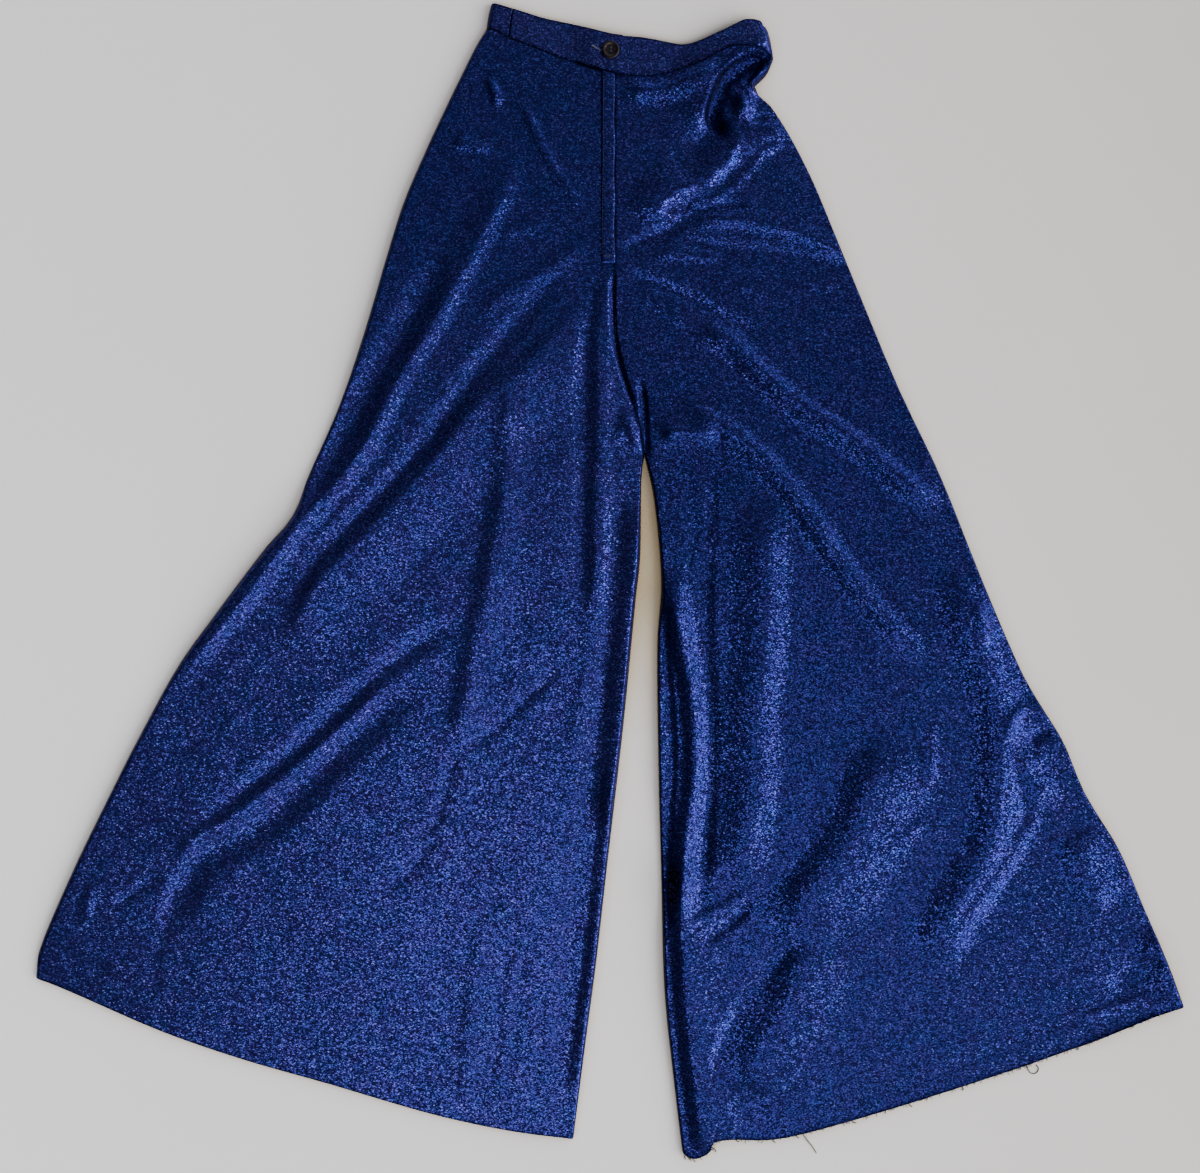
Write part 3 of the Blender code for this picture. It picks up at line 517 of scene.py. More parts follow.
WAIST_FOLDS = (
    # raised end of the waistband
    Fold((
        (206, 562), (174, 548), (148, 533), (124, 517), (106, 496), (92, 466), (80, 432),
    ), 10.5, 15, 50, 0.2, 0.32),
    # deep hollow under it
    Fold((
        (156, 523), (139, 521), (126, 514), (115, 504), (106, 490), (101, 477), (99, 464), (104, 453),
        (116, 447),
    ), -6.5, 18, 6, 0.3, 0.10),
    # knob of cloth
    Fold(((131, 494), (133, 478), (136, 458)), 8.5, 12, 15, 0.2, 0.35),
    # arch over the knob
    Fold(((114, 480), (122, 492), (132, 495), (140, 482), (146, 466)), 3.4, 5, 5, 0.3, 0.2),
    # rim of the pinch
    Fold(((158, 514), (146, 500), (142, 490), (148, 480)), 6, 8, 7, 0.2, 0.3),
    # hollow under the knob
    Fold(((134, 462), (150, 461), (174, 463)), -4.4, 7, 7, 0.25, 0.25),
    # ridge of the pinch
    Fold((
        (186, 458), (152, 443), (127, 434), (108, 416), (88, 401), (62, 394), (44, 377), (28, 354),
    ), 5.4, 24, 32, 0.3, 0.14),
    # its upper rim
    Fold(((137, 450), (122, 429), (119, 416), (103, 405), (95, 390)), 2, 7, 6, 0.4, 0.15),
    # its lower rim
    Fold((
        (173, 439), (155, 428), (143, 415), (132, 402), (118, 391), (104, 382), (86, 375),
    ), 2.2, 6, 7, 0.4, 0.12),
    # its end
    Fold(((88, 394), (71, 390), (56, 379), (45, 364)), 1.8, 7, 6, 0.4, 0.15),
    # pocket in it
    Fold(((128, 417), (118, 405), (112, 396)), -1.8, 6, 6, 0.25, 0.3),
    # pocket near its end
    Fold(((86, 383), (76, 374), (68, 364)), -2.2, 6, 6, 0.25, 0.3),
    # pocket near the seam
    Fold(((148, 437), (158, 436), (168, 439)), -1.6, 5, 5, 0.25, 0.3),
    # hollow under the ridge
    Fold((
        (138, 375), (112, 373), (87, 367), (58, 349), (35, 340), (8, 326),
    ), -3.6, 9, 10, 0.25, 0.15),
    # hollow above the ridge
    Fold(((112, 468), (96, 446), (80, 424), (58, 400)), -2.6, 24, 20, 0.25, 0.25),
    # swell under the waistband
    Fold(((8, 494), (45, 490), (80, 500), (112, 518)), 5.6, 9, 20, 0.25, 0.25),
    # crease at the right hip
    Fold(((-160, 439), (-140, 436), (-114, 431)), 3.7, 8, 8, 0.25, 0.3),
    # crease near the right seam
    Fold(((-122, 504), (-115, 488), (-111, 470)), 3.6, 8, 7, 0.25, 0.3),
    # crease toward the fly
    Fold(((-92, 486), (-76, 452), (-60, 420), (-42, 393), (-22, 364)), 2.6, 8, 8, 0.25, 0.25),
    # crease at the hip ridge
    Fold(((-116, 343), (-90, 351), (-62, 356)), 1.4, 8, 9, 0.25, 0.3),
    # soft ridge to the fly
    Fold(((-14, 344), (-50, 320), (-80, 302), (-110, 283), (-134, 258)), 2, 15, 11, 0.25, 0.2),
)
CREASES = (
    # seam of the centre front
    Fold(((3, 312), (3, 280), (4, 250), (10, 220), (18, 192), (28, 168)), -3, 4.5, 5, 0.25, 0.15),
    # groove above the crotch
    Fold(((30, 204), (34, 175), (35, 148), (37, 118)), -4.2, 6, 6, 0.25, 0.2),
    # bump beside the groove
    Fold(((10, 170), (22, 150), (28, 128)), 2.6, 9, 8, 0.25, 0.3),
    # swell beside the crotch
    Fold(((48, 147), (78, 148), (110, 144)), 4.4, 11, 13, 0.25, 0.3),
    # head of the pressed edge
    Fold(((-104, 197), (-102, 175), (-103, 148)), 1, 4, 4, 0.25, 0.2),
    # end of the pressed edge
    Fold((
        (-152, -162), (-160, -195), (-167, -225), (-182, -250), (-206, -260),
    ), -2.2, 7, 8, 0.25, 0.2),
    # crease at the knee
    Fold(((-147, -168), (-122, -155), (-98, -132), (-70, -105), (-46, -80)), -2, 8, 8, 0.25, 0.2),
    # small creases
    Fold((
        (-160, -256), (-180, -263), (-192, -280), (-210, -300), (-230, -313),
    ), -2, 7, 7, 0.25, 0.2),
    Fold(((-102, -322), (-122, -329), (-138, -344)), -2, 6, 7, 0.25, 0.25),
    Fold((
        (-120, -332), (-131, -375), (-138, -420), (-142, -480), (-146, -525),
    ), 1.6, 16, 12, 0.25, 0.2),
    Fold(((-105, -370), (-112, -450), (-120, -515)), -1.2, 8, 8, 0.25, 0.2),
    Fold(((-85, -365), (-94, -450), (-102, -525)), -1, 6, 6, 0.25, 0.2),
    Fold(((-64, -410), (-70, -460), (-76, -525)), -0.9, 6, 6, 0.25, 0.2),
    # lower right leg
    Fold(((-432, -292), (-442, -338), (-452, -375), (-461, -422)), -1.1, 6, 6, 0.25, 0.2),
    Fold(((-498, -328), (-470, -307), (-442, -298)), -2, 9, 9, 0.25, 0.3),
    Fold(((-550, -375), (-524, -382), (-494, -394)), -1.6, 9, 9, 0.25, 0.3),
    Fold(((-528, -354), (-521, -325), (-512, -292)), 1.2, 9, 9, 0.25, 0.3),
    Fold(((-365, -166), (-375, -188), (-387, -210)), -1.3, 6, 6, 0.25, 0.3),
    Fold(((-450, -162), (-428, -168), (-410, -162)), -1.4, 9, 9, 0.25, 0.3),
    Fold(((158, -366), (175, -356), (192, -342)), 1.6, 7, 7, 0.25, 0.3),
    # lower left leg
    Fold(((187, -420), (193, -470), (198, -510), (202, -550)), -0.9, 4, 4, 0.8, 0.2),
    Fold(((316, -128), (321, -168), (318, -215)), 2, 9, 10, 0.25, 0.3),
    Fold(((292, -262), (312, -242), (338, -258)), 1.6, 8, 8, 0.25, 0.3),
    Fold(((112, -495), (135, -502), (162, -494)), 1.6, 8, 8, 0.25, 0.3),
    Fold(((112, -512), (118, -530), (132, -546)), 1.4, 7, 7, 0.25, 0.3),
    Fold(((152, -518), (162, -532), (170, -548)), 1.4, 7, 7, 0.25, 0.3),
    Fold(((495, -405), (525, -392), (556, -375)), -3.4, 15, 18, 0.25, 0.3),
    Fold(((128, 299), (142, 292), (162, 281)), 1.2, 8, 8, 0.25, 0.3),
    Fold(((188, 301), (208, 296), (232, 293)), 1.2, 8, 8, 0.25, 0.3),
    Fold(((30, 288), (65, 268), (95, 250)), 1.2, 10, 14, 0.25, 0.3),
    # fold of the let-down hem
    Fold((
        (480, -433), (435, -452), (380, -472), (328, -493), (270, -513), (210, -531),
    ), -2.4, 5, 5, 0.4, 0.08),
    # its sharp end at the corner
    Fold(((566, -404), (545, -413), (520, -420), (490, -430), (470, -439)), 3.6, 5, 5, 0.5, 0.10),
    # raised edge below it
    Fold(((572, -434), (545, -446), (500, -463), (462, -478)), 4.4, 12, 19, 0.2, 0.2),
    # raised corner
    Fold(((540, -340), (562, -385), (576, -415), (590, -446)), 9, 14, 38, 0.2, 0.22),
)
FOLDS = RIGHT_LEG_FOLDS + LEFT_LEG_FOLDS + WAIST_FOLDS + CREASES


def ramp(value):
    """Rises smoothly from 0 to 1 as value does."""
    value = np.clip(value, 0.0, 1.0)
    return value * value * (3.0 - 2.0 * value)


def nearest(points, line):
    """Each point's distance from a line, the side it is on (left is +1), and how far along it is."""
    distance = np.full(len(points), np.inf)
    side = np.zeros(len(points))
    along = np.zeros(len(points))
    lengths = np.linalg.norm(np.diff(line, axis=0), axis=1)
    passed = np.concatenate([[0.0], np.cumsum(lengths)])
    for index, length in enumerate(lengths):
        direction = (line[index + 1] - line[index]) / length
        offset = points - line[index]
        run = np.clip(offset @ direction, 0.0, length)
        rest = offset - run[:, None] * direction
        here = np.hypot(rest[:, 0], rest[:, 1])
        closer = here < distance
        turn = np.sign(direction[0] * offset[:, 1] - direction[1] * offset[:, 0])
        distance = np.where(closer, here, distance)
        side = np.where(closer, turn, side)
        along = np.where(closer, (passed[index] + run) / passed[-1], along)
    return distance, side, along


def smooth_line(table, steps=CURVE_STEPS):
    """Points on a Catmull-Rom curve through the points of a table."""
    knots = np.array(table, dtype=float)
    padded = np.vstack([2.0 * knots[0] - knots[1], knots, 2.0 * knots[-1] - knots[-2]])
    shares = np.linspace(0.0, 1.0, steps, endpoint=False)[:, None]
    runs = []
    for before, start, end, after in zip(padded, padded[1:], padded[2:], padded[3:]):
        runs.append(0.5 * (
            2.0 * start
            + (end - before) * shares
            + (2.0 * before - 5.0 * start + 4.0 * end - after) * shares ** 2
            + (3.0 * start - before - 3.0 * end + after) * shares ** 3
        ))
    return np.vstack(runs + [knots[-1:]])


def fold_height(points, fold):
    """What one fold adds to the height at each point."""
    line = smooth_line(metres(*fold.course), FOLD_STEPS)
    rise, left, right = metres(fold.rise, fold.left, fold.right)
    reach = max(left, right)
    low, high = line.min(axis=0) - reach, line.max(axis=0) + reach
    near = np.all((points > low) & (points < high), axis=1)
    height = np.zeros(len(points))
    distance, side, along = nearest(points[near], line)
    share = np.clip(distance / np.where(side >= 0.0, left, right), 0.0, 1.0)
    profile = (1.0 - fold.crest) * (1.0 - share ** 2) ** 2 + fold.crest * (1.0 - share) ** 2
    ends = ramp(along / fold.fade) * ramp((1.0 - along) / fold.fade)
    height[near] = rise * profile * ends
    return height


def lattice_noise(points, wavelength, seed):
    """Smooth uneven waves from -1 to 1 over the plan."""
    draw = np.random.default_rng(seed)
    values = draw.uniform(-1.0, 1.0, (LATTICE, LATTICE))
    place = points / wavelength + LATTICE / 2.0
    cell = np.floor(place).astype(int)
    share = place - cell
    share = share * share * (3.0 - 2.0 * share)
    x, y = cell[:, 0] % LATTICE, cell[:, 1] % LATTICE
    low = values[x, y] * (1.0 - share[:, 0]) + values[(x + 1) % LATTICE, y] * share[:, 0]
    high = values[x, (y + 1) % LATTICE] * (1.0 - share[:, 0])
    high = high + values[(x + 1) % LATTICE, (y + 1) % LATTICE] * share[:, 0]
    return low * (1.0 - share[:, 1]) + high * share[:, 1]


def turned(points, angle, stretch):
    """Plan points turned and stretched, so that the waves of the noise run along the leg."""
    cosine, sine = np.cos(angle), np.sin(angle)
    along = points[:, 0] * cosine + points[:, 1] * sine
    across = points[:, 1] * cosine - points[:, 0] * sine
    return np.stack([along / stretch, across], axis=1)


def wrinkles(points):
    """Small uneven waves all over the cloth, quieter near the waist."""
    calm = CALM_LEAST + (1.0 - CALM_LEAST) * ramp((CALM_START - points[:, 1]) / CALM_RUN)
    right = turned(points, WAVE_TURN_RIGHT, WAVE_STRETCH)
    left = turned(points, WAVE_TURN_LEFT, WAVE_STRETCH)
    share = ramp((points[:, 0] - LEG_CHANGE[0]) / LEG_CHANGE[1])
    total = np.zeros(len(points))
    for wavelength, depth, seed in WAVES:
        total = total + depth * (1.0 - share) * lattice_noise(right, wavelength, seed)
        total = total + depth * share * lattice_noise(left, wavelength, seed + LEFT_SEED_STEP)
    return total * calm


def drape(points):
    """How high the front layer lies over the back layer at each point."""
    hem = np.minimum(nearest(points, HEM_RIGHT)[0], nearest(points, HEM_LEFT)[0])
    height = HEM_LOFT + (LOFT - HEM_LOFT) * ramp(hem / HEM_SOFT)
    for fold in FOLDS:
        height = height + fold_height(points, fold)
    height = height + wrinkles(points)
    height = 0.5 * (height + np.sqrt(height ** 2 + CLAMP ** 2))
    rims = [nearest(points, smooth_line(edge, RIM_STEPS))[0] / wide for edge, wide in ROLLED_EDGES]
    rim = np.min(rims, axis=0)
    roll = np.clip(rim / np.clip(ROLL_SHARE * height, ROLL_LEAST, ROLL_MOST), 0.0, 1.0)
    drop = RIM_DROP * (1.0 - np.clip(rim / RIM_DROP_WIDTH, 0.0, 1.0)) ** 2
    return height * (1.0 - (1.0 - roll) ** 2) - drop


def spread(line, shares):
    """Points at the given shares of a line's length."""
    lengths = np.linalg.norm(np.diff(line, axis=0), axis=1)
    passed = np.concatenate([[0.0], np.cumsum(lengths)])
    wanted = np.asarray(shares) * passed[-1]
    return np.stack([np.interp(wanted, passed, line[:, axis]) for axis in range(2)], axis=1)


def line_length(line):
    """Length of a line."""
    return np.linalg.norm(np.diff(line, axis=0), axis=1).sum()


def spread_inner(centre, inseam, rows):
    """Points down a panel's inner edge, with a row at the crotch where its two lines meet."""
    share = line_length(centre) / (line_length(centre) + line_length(inseam))
    crotch = int(np.argmin(np.abs(rows - share)))
    above = spread(centre, rows[:crotch + 1] / rows[crotch])
    below = spread(inseam, (rows[crotch:] - rows[crotch]) / (1.0 - rows[crotch]))
    return np.vstack([above, below[1:]])


def patch(top, foot, start, end, columns, rows):
    """A grid of points between four edges, each with a point for each column or row."""
    u = np.asarray(columns)[None, :, None]
    v = np.asarray(rows)[:, None, None]
    across = (1.0 - u) * start[:, None] + u * end[:, None]
    down = (1.0 - v) * top[None] + v * foot[None]
    corners = (
        (1.0 - u) * (1.0 - v) * top[0] + u * (1.0 - v) * top[-1]
        + (1.0 - u) * v * foot[0] + u * v * foot[-1]
    )
    return across + down - corners


def part_of_line(line, low_x, high_x):
    """The stretch of a line between two values of x, with its ends worked out."""
    ends = [np.array([x, np.interp(x, line[:, 0], line[:, 1])]) for x in (low_x, high_x)]
    inside = line[(line[:, 0] > low_x) & (line[:, 0] < high_x)]
    return np.vstack([ends[0], inside, ends[1]])


def moved(line, x=0.0, y=0.0):
    """A line moved by x and y."""
    return np.asarray(line) + np.array([x, y])


def rim_shares(count):
    """Shares of a width, closer together at both ends."""
    share = np.linspace(0.0, 1.0, count)
    return share - RIM_CROWDING * np.sin(2.0 * np.pi * share)


def finish_piece(piece, look, nodes):
    """Gives a piece its material and body, and hides the solids that it stands for."""
    piece.data.materials.append(look)
    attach(piece, "root")
    if nodes:
        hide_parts(*nodes)


def add_mesh(name, points, faces):
    """Puts a smooth-shaded mesh in the scene."""
    mesh = bpy.data.meshes.new(name)
    mesh.from_pydata(np.asarray(points).tolist(), [], faces)
    mesh.shade_smooth()
    made = bpy.data.objects.new(name, mesh)
    bpy.context.scene.collection.objects.link(made)
    return made


def shell(name, plan, top, thick):
    """A closed thin wall over a grid of plan points, from the height top down by thick."""
    rows, columns = plan.shape[:2]
    count = rows * columns
    flat = plan.reshape(count, 2)
    points = np.vstack([np.column_stack([flat, top - thick]), np.column_stack([flat, top])])
    index = np.arange(count).reshape(rows, columns)
    a, b = index[:-1, :-1].ravel(), index[:-1, 1:].ravel()
    c, d = index[1:, 1:].ravel(), index[1:, :-1].ravel()
    cross = (flat[b[0]] - flat[a[0]])[0] * (flat[d[0]] - flat[a[0]])[1]
    cross = cross - (flat[b[0]] - flat[a[0]])[1] * (flat[d[0]] - flat[a[0]])[0]
    over = np.stack([a, b, c, d], axis=1) + count
    under = np.stack([d, c, b, a], axis=1)
    ring = np.concatenate([index[0, :-1], index[:-1, -1], index[-1, :0:-1], index[:0:-1, 0]])
    following = np.roll(ring, -1)
    side = np.stack([ring, following, following + count, ring + count], axis=1)
    faces = np.vstack([over, under, side])
    if cross < 0.0:
        faces = faces[:, ::-1]
    return add_mesh(name, points, faces.tolist())


def tube(course, radius, sides=5):
    """Points and faces of a thin closed tube along a course of (x, y, z) points."""
    course = np.asarray(course, dtype=float)
    ways = np.gradient(course, axis=0)
    ways = ways / np.linalg.norm(ways, axis=1)[:, None]
    aside = np.cross(ways, np.array([0.0, 0.0, 1.0]))
    aside = aside / np.maximum(np.linalg.norm(aside, axis=1)[:, None], 1e-9)
    over = np.cross(aside, ways)
    angles = np.linspace(0.0, 2.0 * np.pi, sides, endpoint=False)
    radii = np.full(len(course), radius)
    radii[[0, -1]] = 0.5 * radius
    rings = course[:, None] + radii[:, None, None] * (
        np.cos(angles)[None, :, None] * aside[:, None] + np.sin(angles)[None, :, None] * over[:, None]
    )
    faces = []
    for ring in range(len(course) - 1):
        for side in range(sides):
            here, after = ring * sides + side, ring * sides + (side + 1) % sides
            faces.append((here, after, after + sides, here + sides))
    faces.append(tuple(range(sides))[::-1])
    last = (len(course) - 1) * sides
    faces.append(tuple(range(last, last + sides)))
    return rings.reshape(-1, 3), faces


def thread_piece(name, courses, radius, look, sides=5):
    """One object of many thin threads."""
    points, faces, count = [], [], 0
    for course in courses:
        ring_points, ring_faces = tube(course, radius, sides)
        points.append(ring_points)
        faces.extend(tuple(index + count for index in face) for face in ring_faces)
        count += len(ring_points)
    finish_piece(add_mesh(name, np.vstack(points), faces), look, [])


def stitches(line, pitch, share, height, radius):
    """Courses of the stitches in a row along a plan line; height gives the surface under each point."""
    line = smooth_line(line) if len(line) > 2 else np.array(line, dtype=float)
    count = max(1, int(line_length(line) / pitch))
    courses = []
    for index in range(count):
        plan = spread(line, (index + 0.5 + share * STITCH_MARKS) / count)
        courses.append(np.column_stack([plan, height(plan) + radius * STITCH_RISE]))
    return courses


def feed(tree, socket, value):
    """Links a socket to an output, or sets it to a constant."""
    if isinstance(value, bpy.types.NodeSocket):
        tree.links.new(value, socket)
    else:
        socket.default_value = value


def ramp_node(tree, stops, share, blend="LINEAR"):
    """A colour ramp with the given (place, colour) stops."""
    node = tree.nodes.new("ShaderNodeValToRGB")
    node.color_ramp.interpolation = blend
    elements = node.color_ramp.elements
    while len(elements) > 1:
        elements.remove(elements[-1])
    elements[0].position, elements[0].color = stops[0][0], (*stops[0][1], 1.0)
    for place, colour in stops[1:]:
        elements.new(place).color = (*colour, 1.0)
    tree.links.new(share, node.inputs[0])
    return node.outputs[0]


def math_node(tree, operation, *values):
    """A maths node on values or outputs."""
    node = tree.nodes.new("ShaderNodeMath")
    node.operation = operation
    for socket, value in zip(node.inputs, values):
        feed(tree, socket, value)
    return node.outputs[0]


def vector_node(tree, operation, *values):
    """A vector maths node on vectors or outputs."""
    node = tree.nodes.new("ShaderNodeVectorMath")
    node.operation = operation
    for socket, value in zip(node.inputs, values):
        feed(tree, socket, value)
    return node


def tinted(tree, colour, tint, share=1.0):
    """A colour multiplied by a tint, in full or in part."""
    node = tree.nodes.new("ShaderNodeMix")
    node.data_type = "RGBA"
    node.blend_type = "MULTIPLY"
    feed(tree, node.inputs[0], share)
    feed(tree, node.inputs[6], colour)
    feed(tree, node.inputs[7], tint)
    return node.outputs[2]


def noise_node(tree, place, scale, detail, streaks=0.0):
    """Uneven tone from a noise over the object."""
    node = tree.nodes.new("ShaderNodeTexNoise")
    node.inputs["Scale"].default_value = scale
    node.inputs["Detail"].default_value = detail
    node.inputs["Distortion"].default_value = streaks
    tree.links.new(place, node.inputs["Vector"])
    return node.outputs[0]


def object_place(tree):
    """The place on the object."""
    return tree.nodes.new("ShaderNodeTexCoord").outputs["Object"]


def split(tree, vector):
    """A vector's X, Y and Z."""
    node = tree.nodes.new("ShaderNodeSeparateXYZ")
    tree.links.new(vector, node.inputs[0])
    return node.outputs


def new_material(name):
    """A material with its node tree and Principled shader."""
    made = bpy.data.materials.new(name)
    made.use_nodes = True
    return made, made.node_tree, made.node_tree.nodes["Principled BSDF"]


def lurex_material(name, painted_sheen):
    """Dark blue cloth with short metallic threads that catch the light one by one, a painted sheen that
    brightens it along the garment, and painted shade at its edges.
    """
    made, tree, shader = new_material(name)
    place = object_place(tree)
    fleck = tree.nodes.new("ShaderNodeTexVoronoi")
    fleck.inputs["Scale"].default_value = FLECK_SCALE
    tree.links.new(vector_node(tree, "MULTIPLY", place, FLECK_STRETCH).outputs[0], fleck.inputs["Vector"])
    parts = tree.nodes.new("ShaderNodeSeparateColor")
    tree.links.new(fleck.outputs["Color"], parts.inputs[0])
    own = parts.outputs[0]
    share = tree.nodes.new("ShaderNodeMapRange")
    share.inputs["From Min"].default_value, share.inputs["From Max"].default_value = PAINTED_SHEEN_ENDS
    tree.links.new(split(tree, place)["Y"], share.inputs["Value"])
    patches = noise_node(tree, place, PATCH_SCALE, PATCH_DETAIL)
    colour = tinted(tree, ramp_node(tree, FLECK_TONES, own), ramp_node(tree, PATCH_TINTS, patches))
    # Painted sheen: colour gain along the garment that stands in for light
    colour = tinted(tree, colour, ramp_node(tree, painted_sheen, share.outputs[0], "EASE"))
    # Painted shade: the stored nearness to edges, seams and the pinch darkens the colour
    painted_shade = tree.nodes.new("ShaderNodeAttribute")
    painted_shade.attribute_name = PAINTED_SHADE_LAYER
    colour = tinted(tree, colour, (*PAINTED_EDGE_SHADE_TONE, 1.0), painted_shade.outputs["Fac"])
    tree.links.new(colour, shader.inputs["Base Color"])
    tree.links.new(ramp_node(tree, FLECK_METAL, own), shader.inputs["Metallic"])
    shader.inputs["Roughness"].default_value = FLECK_ROUGH
    shader.inputs["Specular IOR Level"].default_value = FLECK_SPECULAR
    shader.inputs["Specular Tint"].default_value = (*EDGE_SHEEN, 1.0)
    tilt = vector_node(tree, "SUBTRACT", fleck.outputs["Color"], (0.5, 0.5, 0.5))
    scaled = vector_node(tree, "SCALE", tilt.outputs[0])
    scaled.inputs["Scale"].default_value = FLECK_TILT
    normal = tree.nodes.new("ShaderNodeNewGeometry").outputs["Normal"]
    leaning = vector_node(tree, "ADD", normal, scaled.outputs[0])
    tree.links.new(vector_node(tree, "NORMALIZE", leaning.outputs[0]).outputs[0], shader.inputs["Normal"])
    return made


def thread_material(name, colour, rough=0.6):
    """Sewing thread, with a fine uneven tone."""
    made, tree, shader = new_material(name)
    noise = tree.nodes.new("ShaderNodeTexNoise")
    noise.inputs["Scale"].default_value = THREAD_NOISE
    dark = tuple(THREAD_DARK * part for part in colour)
    light = tuple(min(1.0, THREAD_LIGHT * part) for part in colour)
    tones = ramp_node(tree, ((0.3, dark), (0.7, light)), noise.outputs[0])
    tree.links.new(tones, shader.inputs["Base Color"])
    shader.inputs["Roughness"].default_value = rough
    return made


def button_material():
    """Dark brown horn-like plastic with soft streaks."""
    made, tree, shader = new_material("button_horn")
    streaks = noise_node(tree, object_place(tree), HORN_SCALE, HORN_DETAIL, HORN_STREAKS)
    tree.links.new(ramp_node(tree, HORN_TONES, streaks), shader.inputs["Base Color"])
    shader.inputs["Roughness"].default_value = HORN_ROUGH
    shader.inputs["Specular IOR Level"].default_value = HORN_SPECULAR
    return made


def floor_material():
    """Plain pale floor with painted light: a painted falloff that darkens it gently across, and painted
    warm shadow between the legs and beside the cloth.
    """
    made, tree, shader = new_material("pale_floor")
    place = object_place(tree)
    noise = noise_node(tree, place, FLOOR_NOISE, FLOOR_DETAIL)
    way = split(tree, place)
    # Painted falloff of light: darker towards the right and the top
    slant = math_node(tree, "MULTIPLY_ADD", way["Y"], PAINTED_FALLOFF_SLANT, way["X"])
    across = math_node(tree, "MULTIPLY_ADD", slant, PAINTED_FLOOR_FALLOFF, 0.5)
    uneven = math_node(tree, "MULTIPLY_ADD", noise, FLOOR_UNEVEN, across)
    # Painted shadow in the gap between the legs
    shift = tuple(-part * scale for part, scale in zip(PAINTED_GAP_SHADOW_PLACE, PAINTED_GAP_SHADOW_STRETCH))
    gap = vector_node(tree, "MULTIPLY_ADD", place, PAINTED_GAP_SHADOW_STRETCH, shift)
    reach = vector_node(tree, "LENGTH", gap.outputs[0])
    # Painted contact shadow beside the cloth
    hollow = tree.nodes.new("ShaderNodeAmbientOcclusion")
    hollow.inputs["Distance"].default_value = PAINTED_CONTACT_SHADOW_REACH
    warm = ramp_node(tree, PAINTED_GAP_SHADOW_TONES, reach.outputs["Value"])
    colour = tinted(tree, ramp_node(tree, FLOOR_TONES, uneven), warm)
    colour = tinted(tree, colour, ramp_node(tree, PAINTED_CONTACT_SHADOW_TONES, hollow.outputs["AO"]))
    tree.links.new(colour, shader.inputs["Base Color"])
    shader.inputs["Roughness"].default_value = FLOOR_ROUGH
    return made


def shade_edges(piece, lines, widths):
    """Stores a painted shade: how near each point is to the piece's edges and the deep pinch, where the
    cloth's colour is darkened to stand in for shade.
    """
    points = np.array([vertex.co[:2] for vertex in piece.data.vertices])
    # Painted shade in the deep pinch by the waistband
    shade = PINCH_SHADE * np.exp(-(nearest(points, smooth_line(PINCH, RIM_STEPS))[0] / PINCH_SHADE_WIDTH) ** 4)
    for line, wide in zip(lines, widths):
        coarse = spread(np.asarray(line), np.linspace(0.0, 1.0, EDGE_STEPS))
        shade = np.maximum(shade, np.exp(-(nearest(points, coarse)[0] / wide) ** 2))
    layer = piece.data.attributes.new(PAINTED_SHADE_LAYER, "FLOAT", "POINT")
    layer.data.foreach_set("value", shade)


def panel_edges(waist, outer, inseam, hem, seam_side, columns, rows):
    """A leg panel's waist, hem, outer and inner edges, with a point for each column or row."""
    inner = spread_inner(smooth_line(CENTRE_FRONT), smooth_line(inseam), rows)
    inner = moved(inner, x=seam_side * GAP / 2.0)
    outer = spread(smooth_line(outer), rows)
    waist = spread(moved(waist, y=-GAP / 2.0), columns)
    hem = spread(smooth_line(hem), columns)
    waist[0], waist[-1], hem[0], hem[-1] = outer[0], inner[0], outer[-1], inner[-1]
    return waist, hem, outer, inner


def waist_parts():
    """The waist's seam on each side of the centre front, each from its outer end."""
    seam = smooth_line(WAIST_SEAM)
    centre = CENTRE_FRONT[0][0]
    return part_of_line(seam, seam[0, 0], centre), part_of_line(seam, centre, seam[-1, 0])[::-1]


def make_front(name, node, waist, outer, inseam, hem, seam_side, look, hem_shade):
    """A front panel as a fine shell."""
    rows = np.union1d(np.linspace(0.0, 1.0, PANEL_ROWS), 1.0 - np.array(HEM_ROWS))
    columns = rim_shares(PANEL_COLUMNS)
    waist, hem, outer, inner = panel_edges(waist, outer, inseam, hem, seam_side, columns, rows)
    plan = patch(waist, hem, outer, inner, columns, rows)
    top = FRONT_Z + CLOTH + drape(plan.reshape(-1, 2))
    piece = shell(name, plan, top, SHELL)
    # Painted shade along the panel's edges and seams
    shade_edges(piece, (waist, outer, inner, hem), (EDGE_SHADE_WIDTH, EDGE_SHADE_WIDTH, EDGE_SHADE_WIDTH, hem_shade))
    finish_piece(piece, look, [node])


def make_fronts(right_look, left_look):
    """Both front panels, which meet at the centre front."""
    right_waist, left_waist = waist_parts()
    make_front("front_right_cloth", "front_right", right_waist, OUTER_RIGHT, INSEAM_RIGHT, HEM_RIGHT,
               -1.0, right_look, EDGE_SHADE_WIDTH)
    make_front("front_left_cloth", "front_left", left_waist, OUTER_LEFT, INSEAM_LEFT, HEM_LEFT,
               1.0, left_look, RAW_EDGE_SHADE_WIDTH)


def make_back(name, node, waist, outer, inseam, hem, seam_side, look):
    """A back panel, flat on the surface, with faint creases pressed into it."""
    rows, columns = np.linspace(0.0, 1.0, BACK_ROWS), np.linspace(0.0, 1.0, BACK_COLUMNS)
    waist, hem, outer, inner = panel_edges(waist, outer, inseam, hem, seam_side, columns, rows)
    plan = patch(waist, hem, outer, inner, columns, rows)
    lie = turned(plan.reshape(-1, 2), BACK_WAVE_TURN, BACK_WAVE_STRETCH)
    crease = 0.5 * (1.0 + lattice_noise(lie, BACK_WAVELENGTH, BACK_SEED))
    piece = shell(name, plan, CLOTH - BACK_SINK - BACK_CREASE * crease, SHELL)
    finish_piece(piece, look, [node])


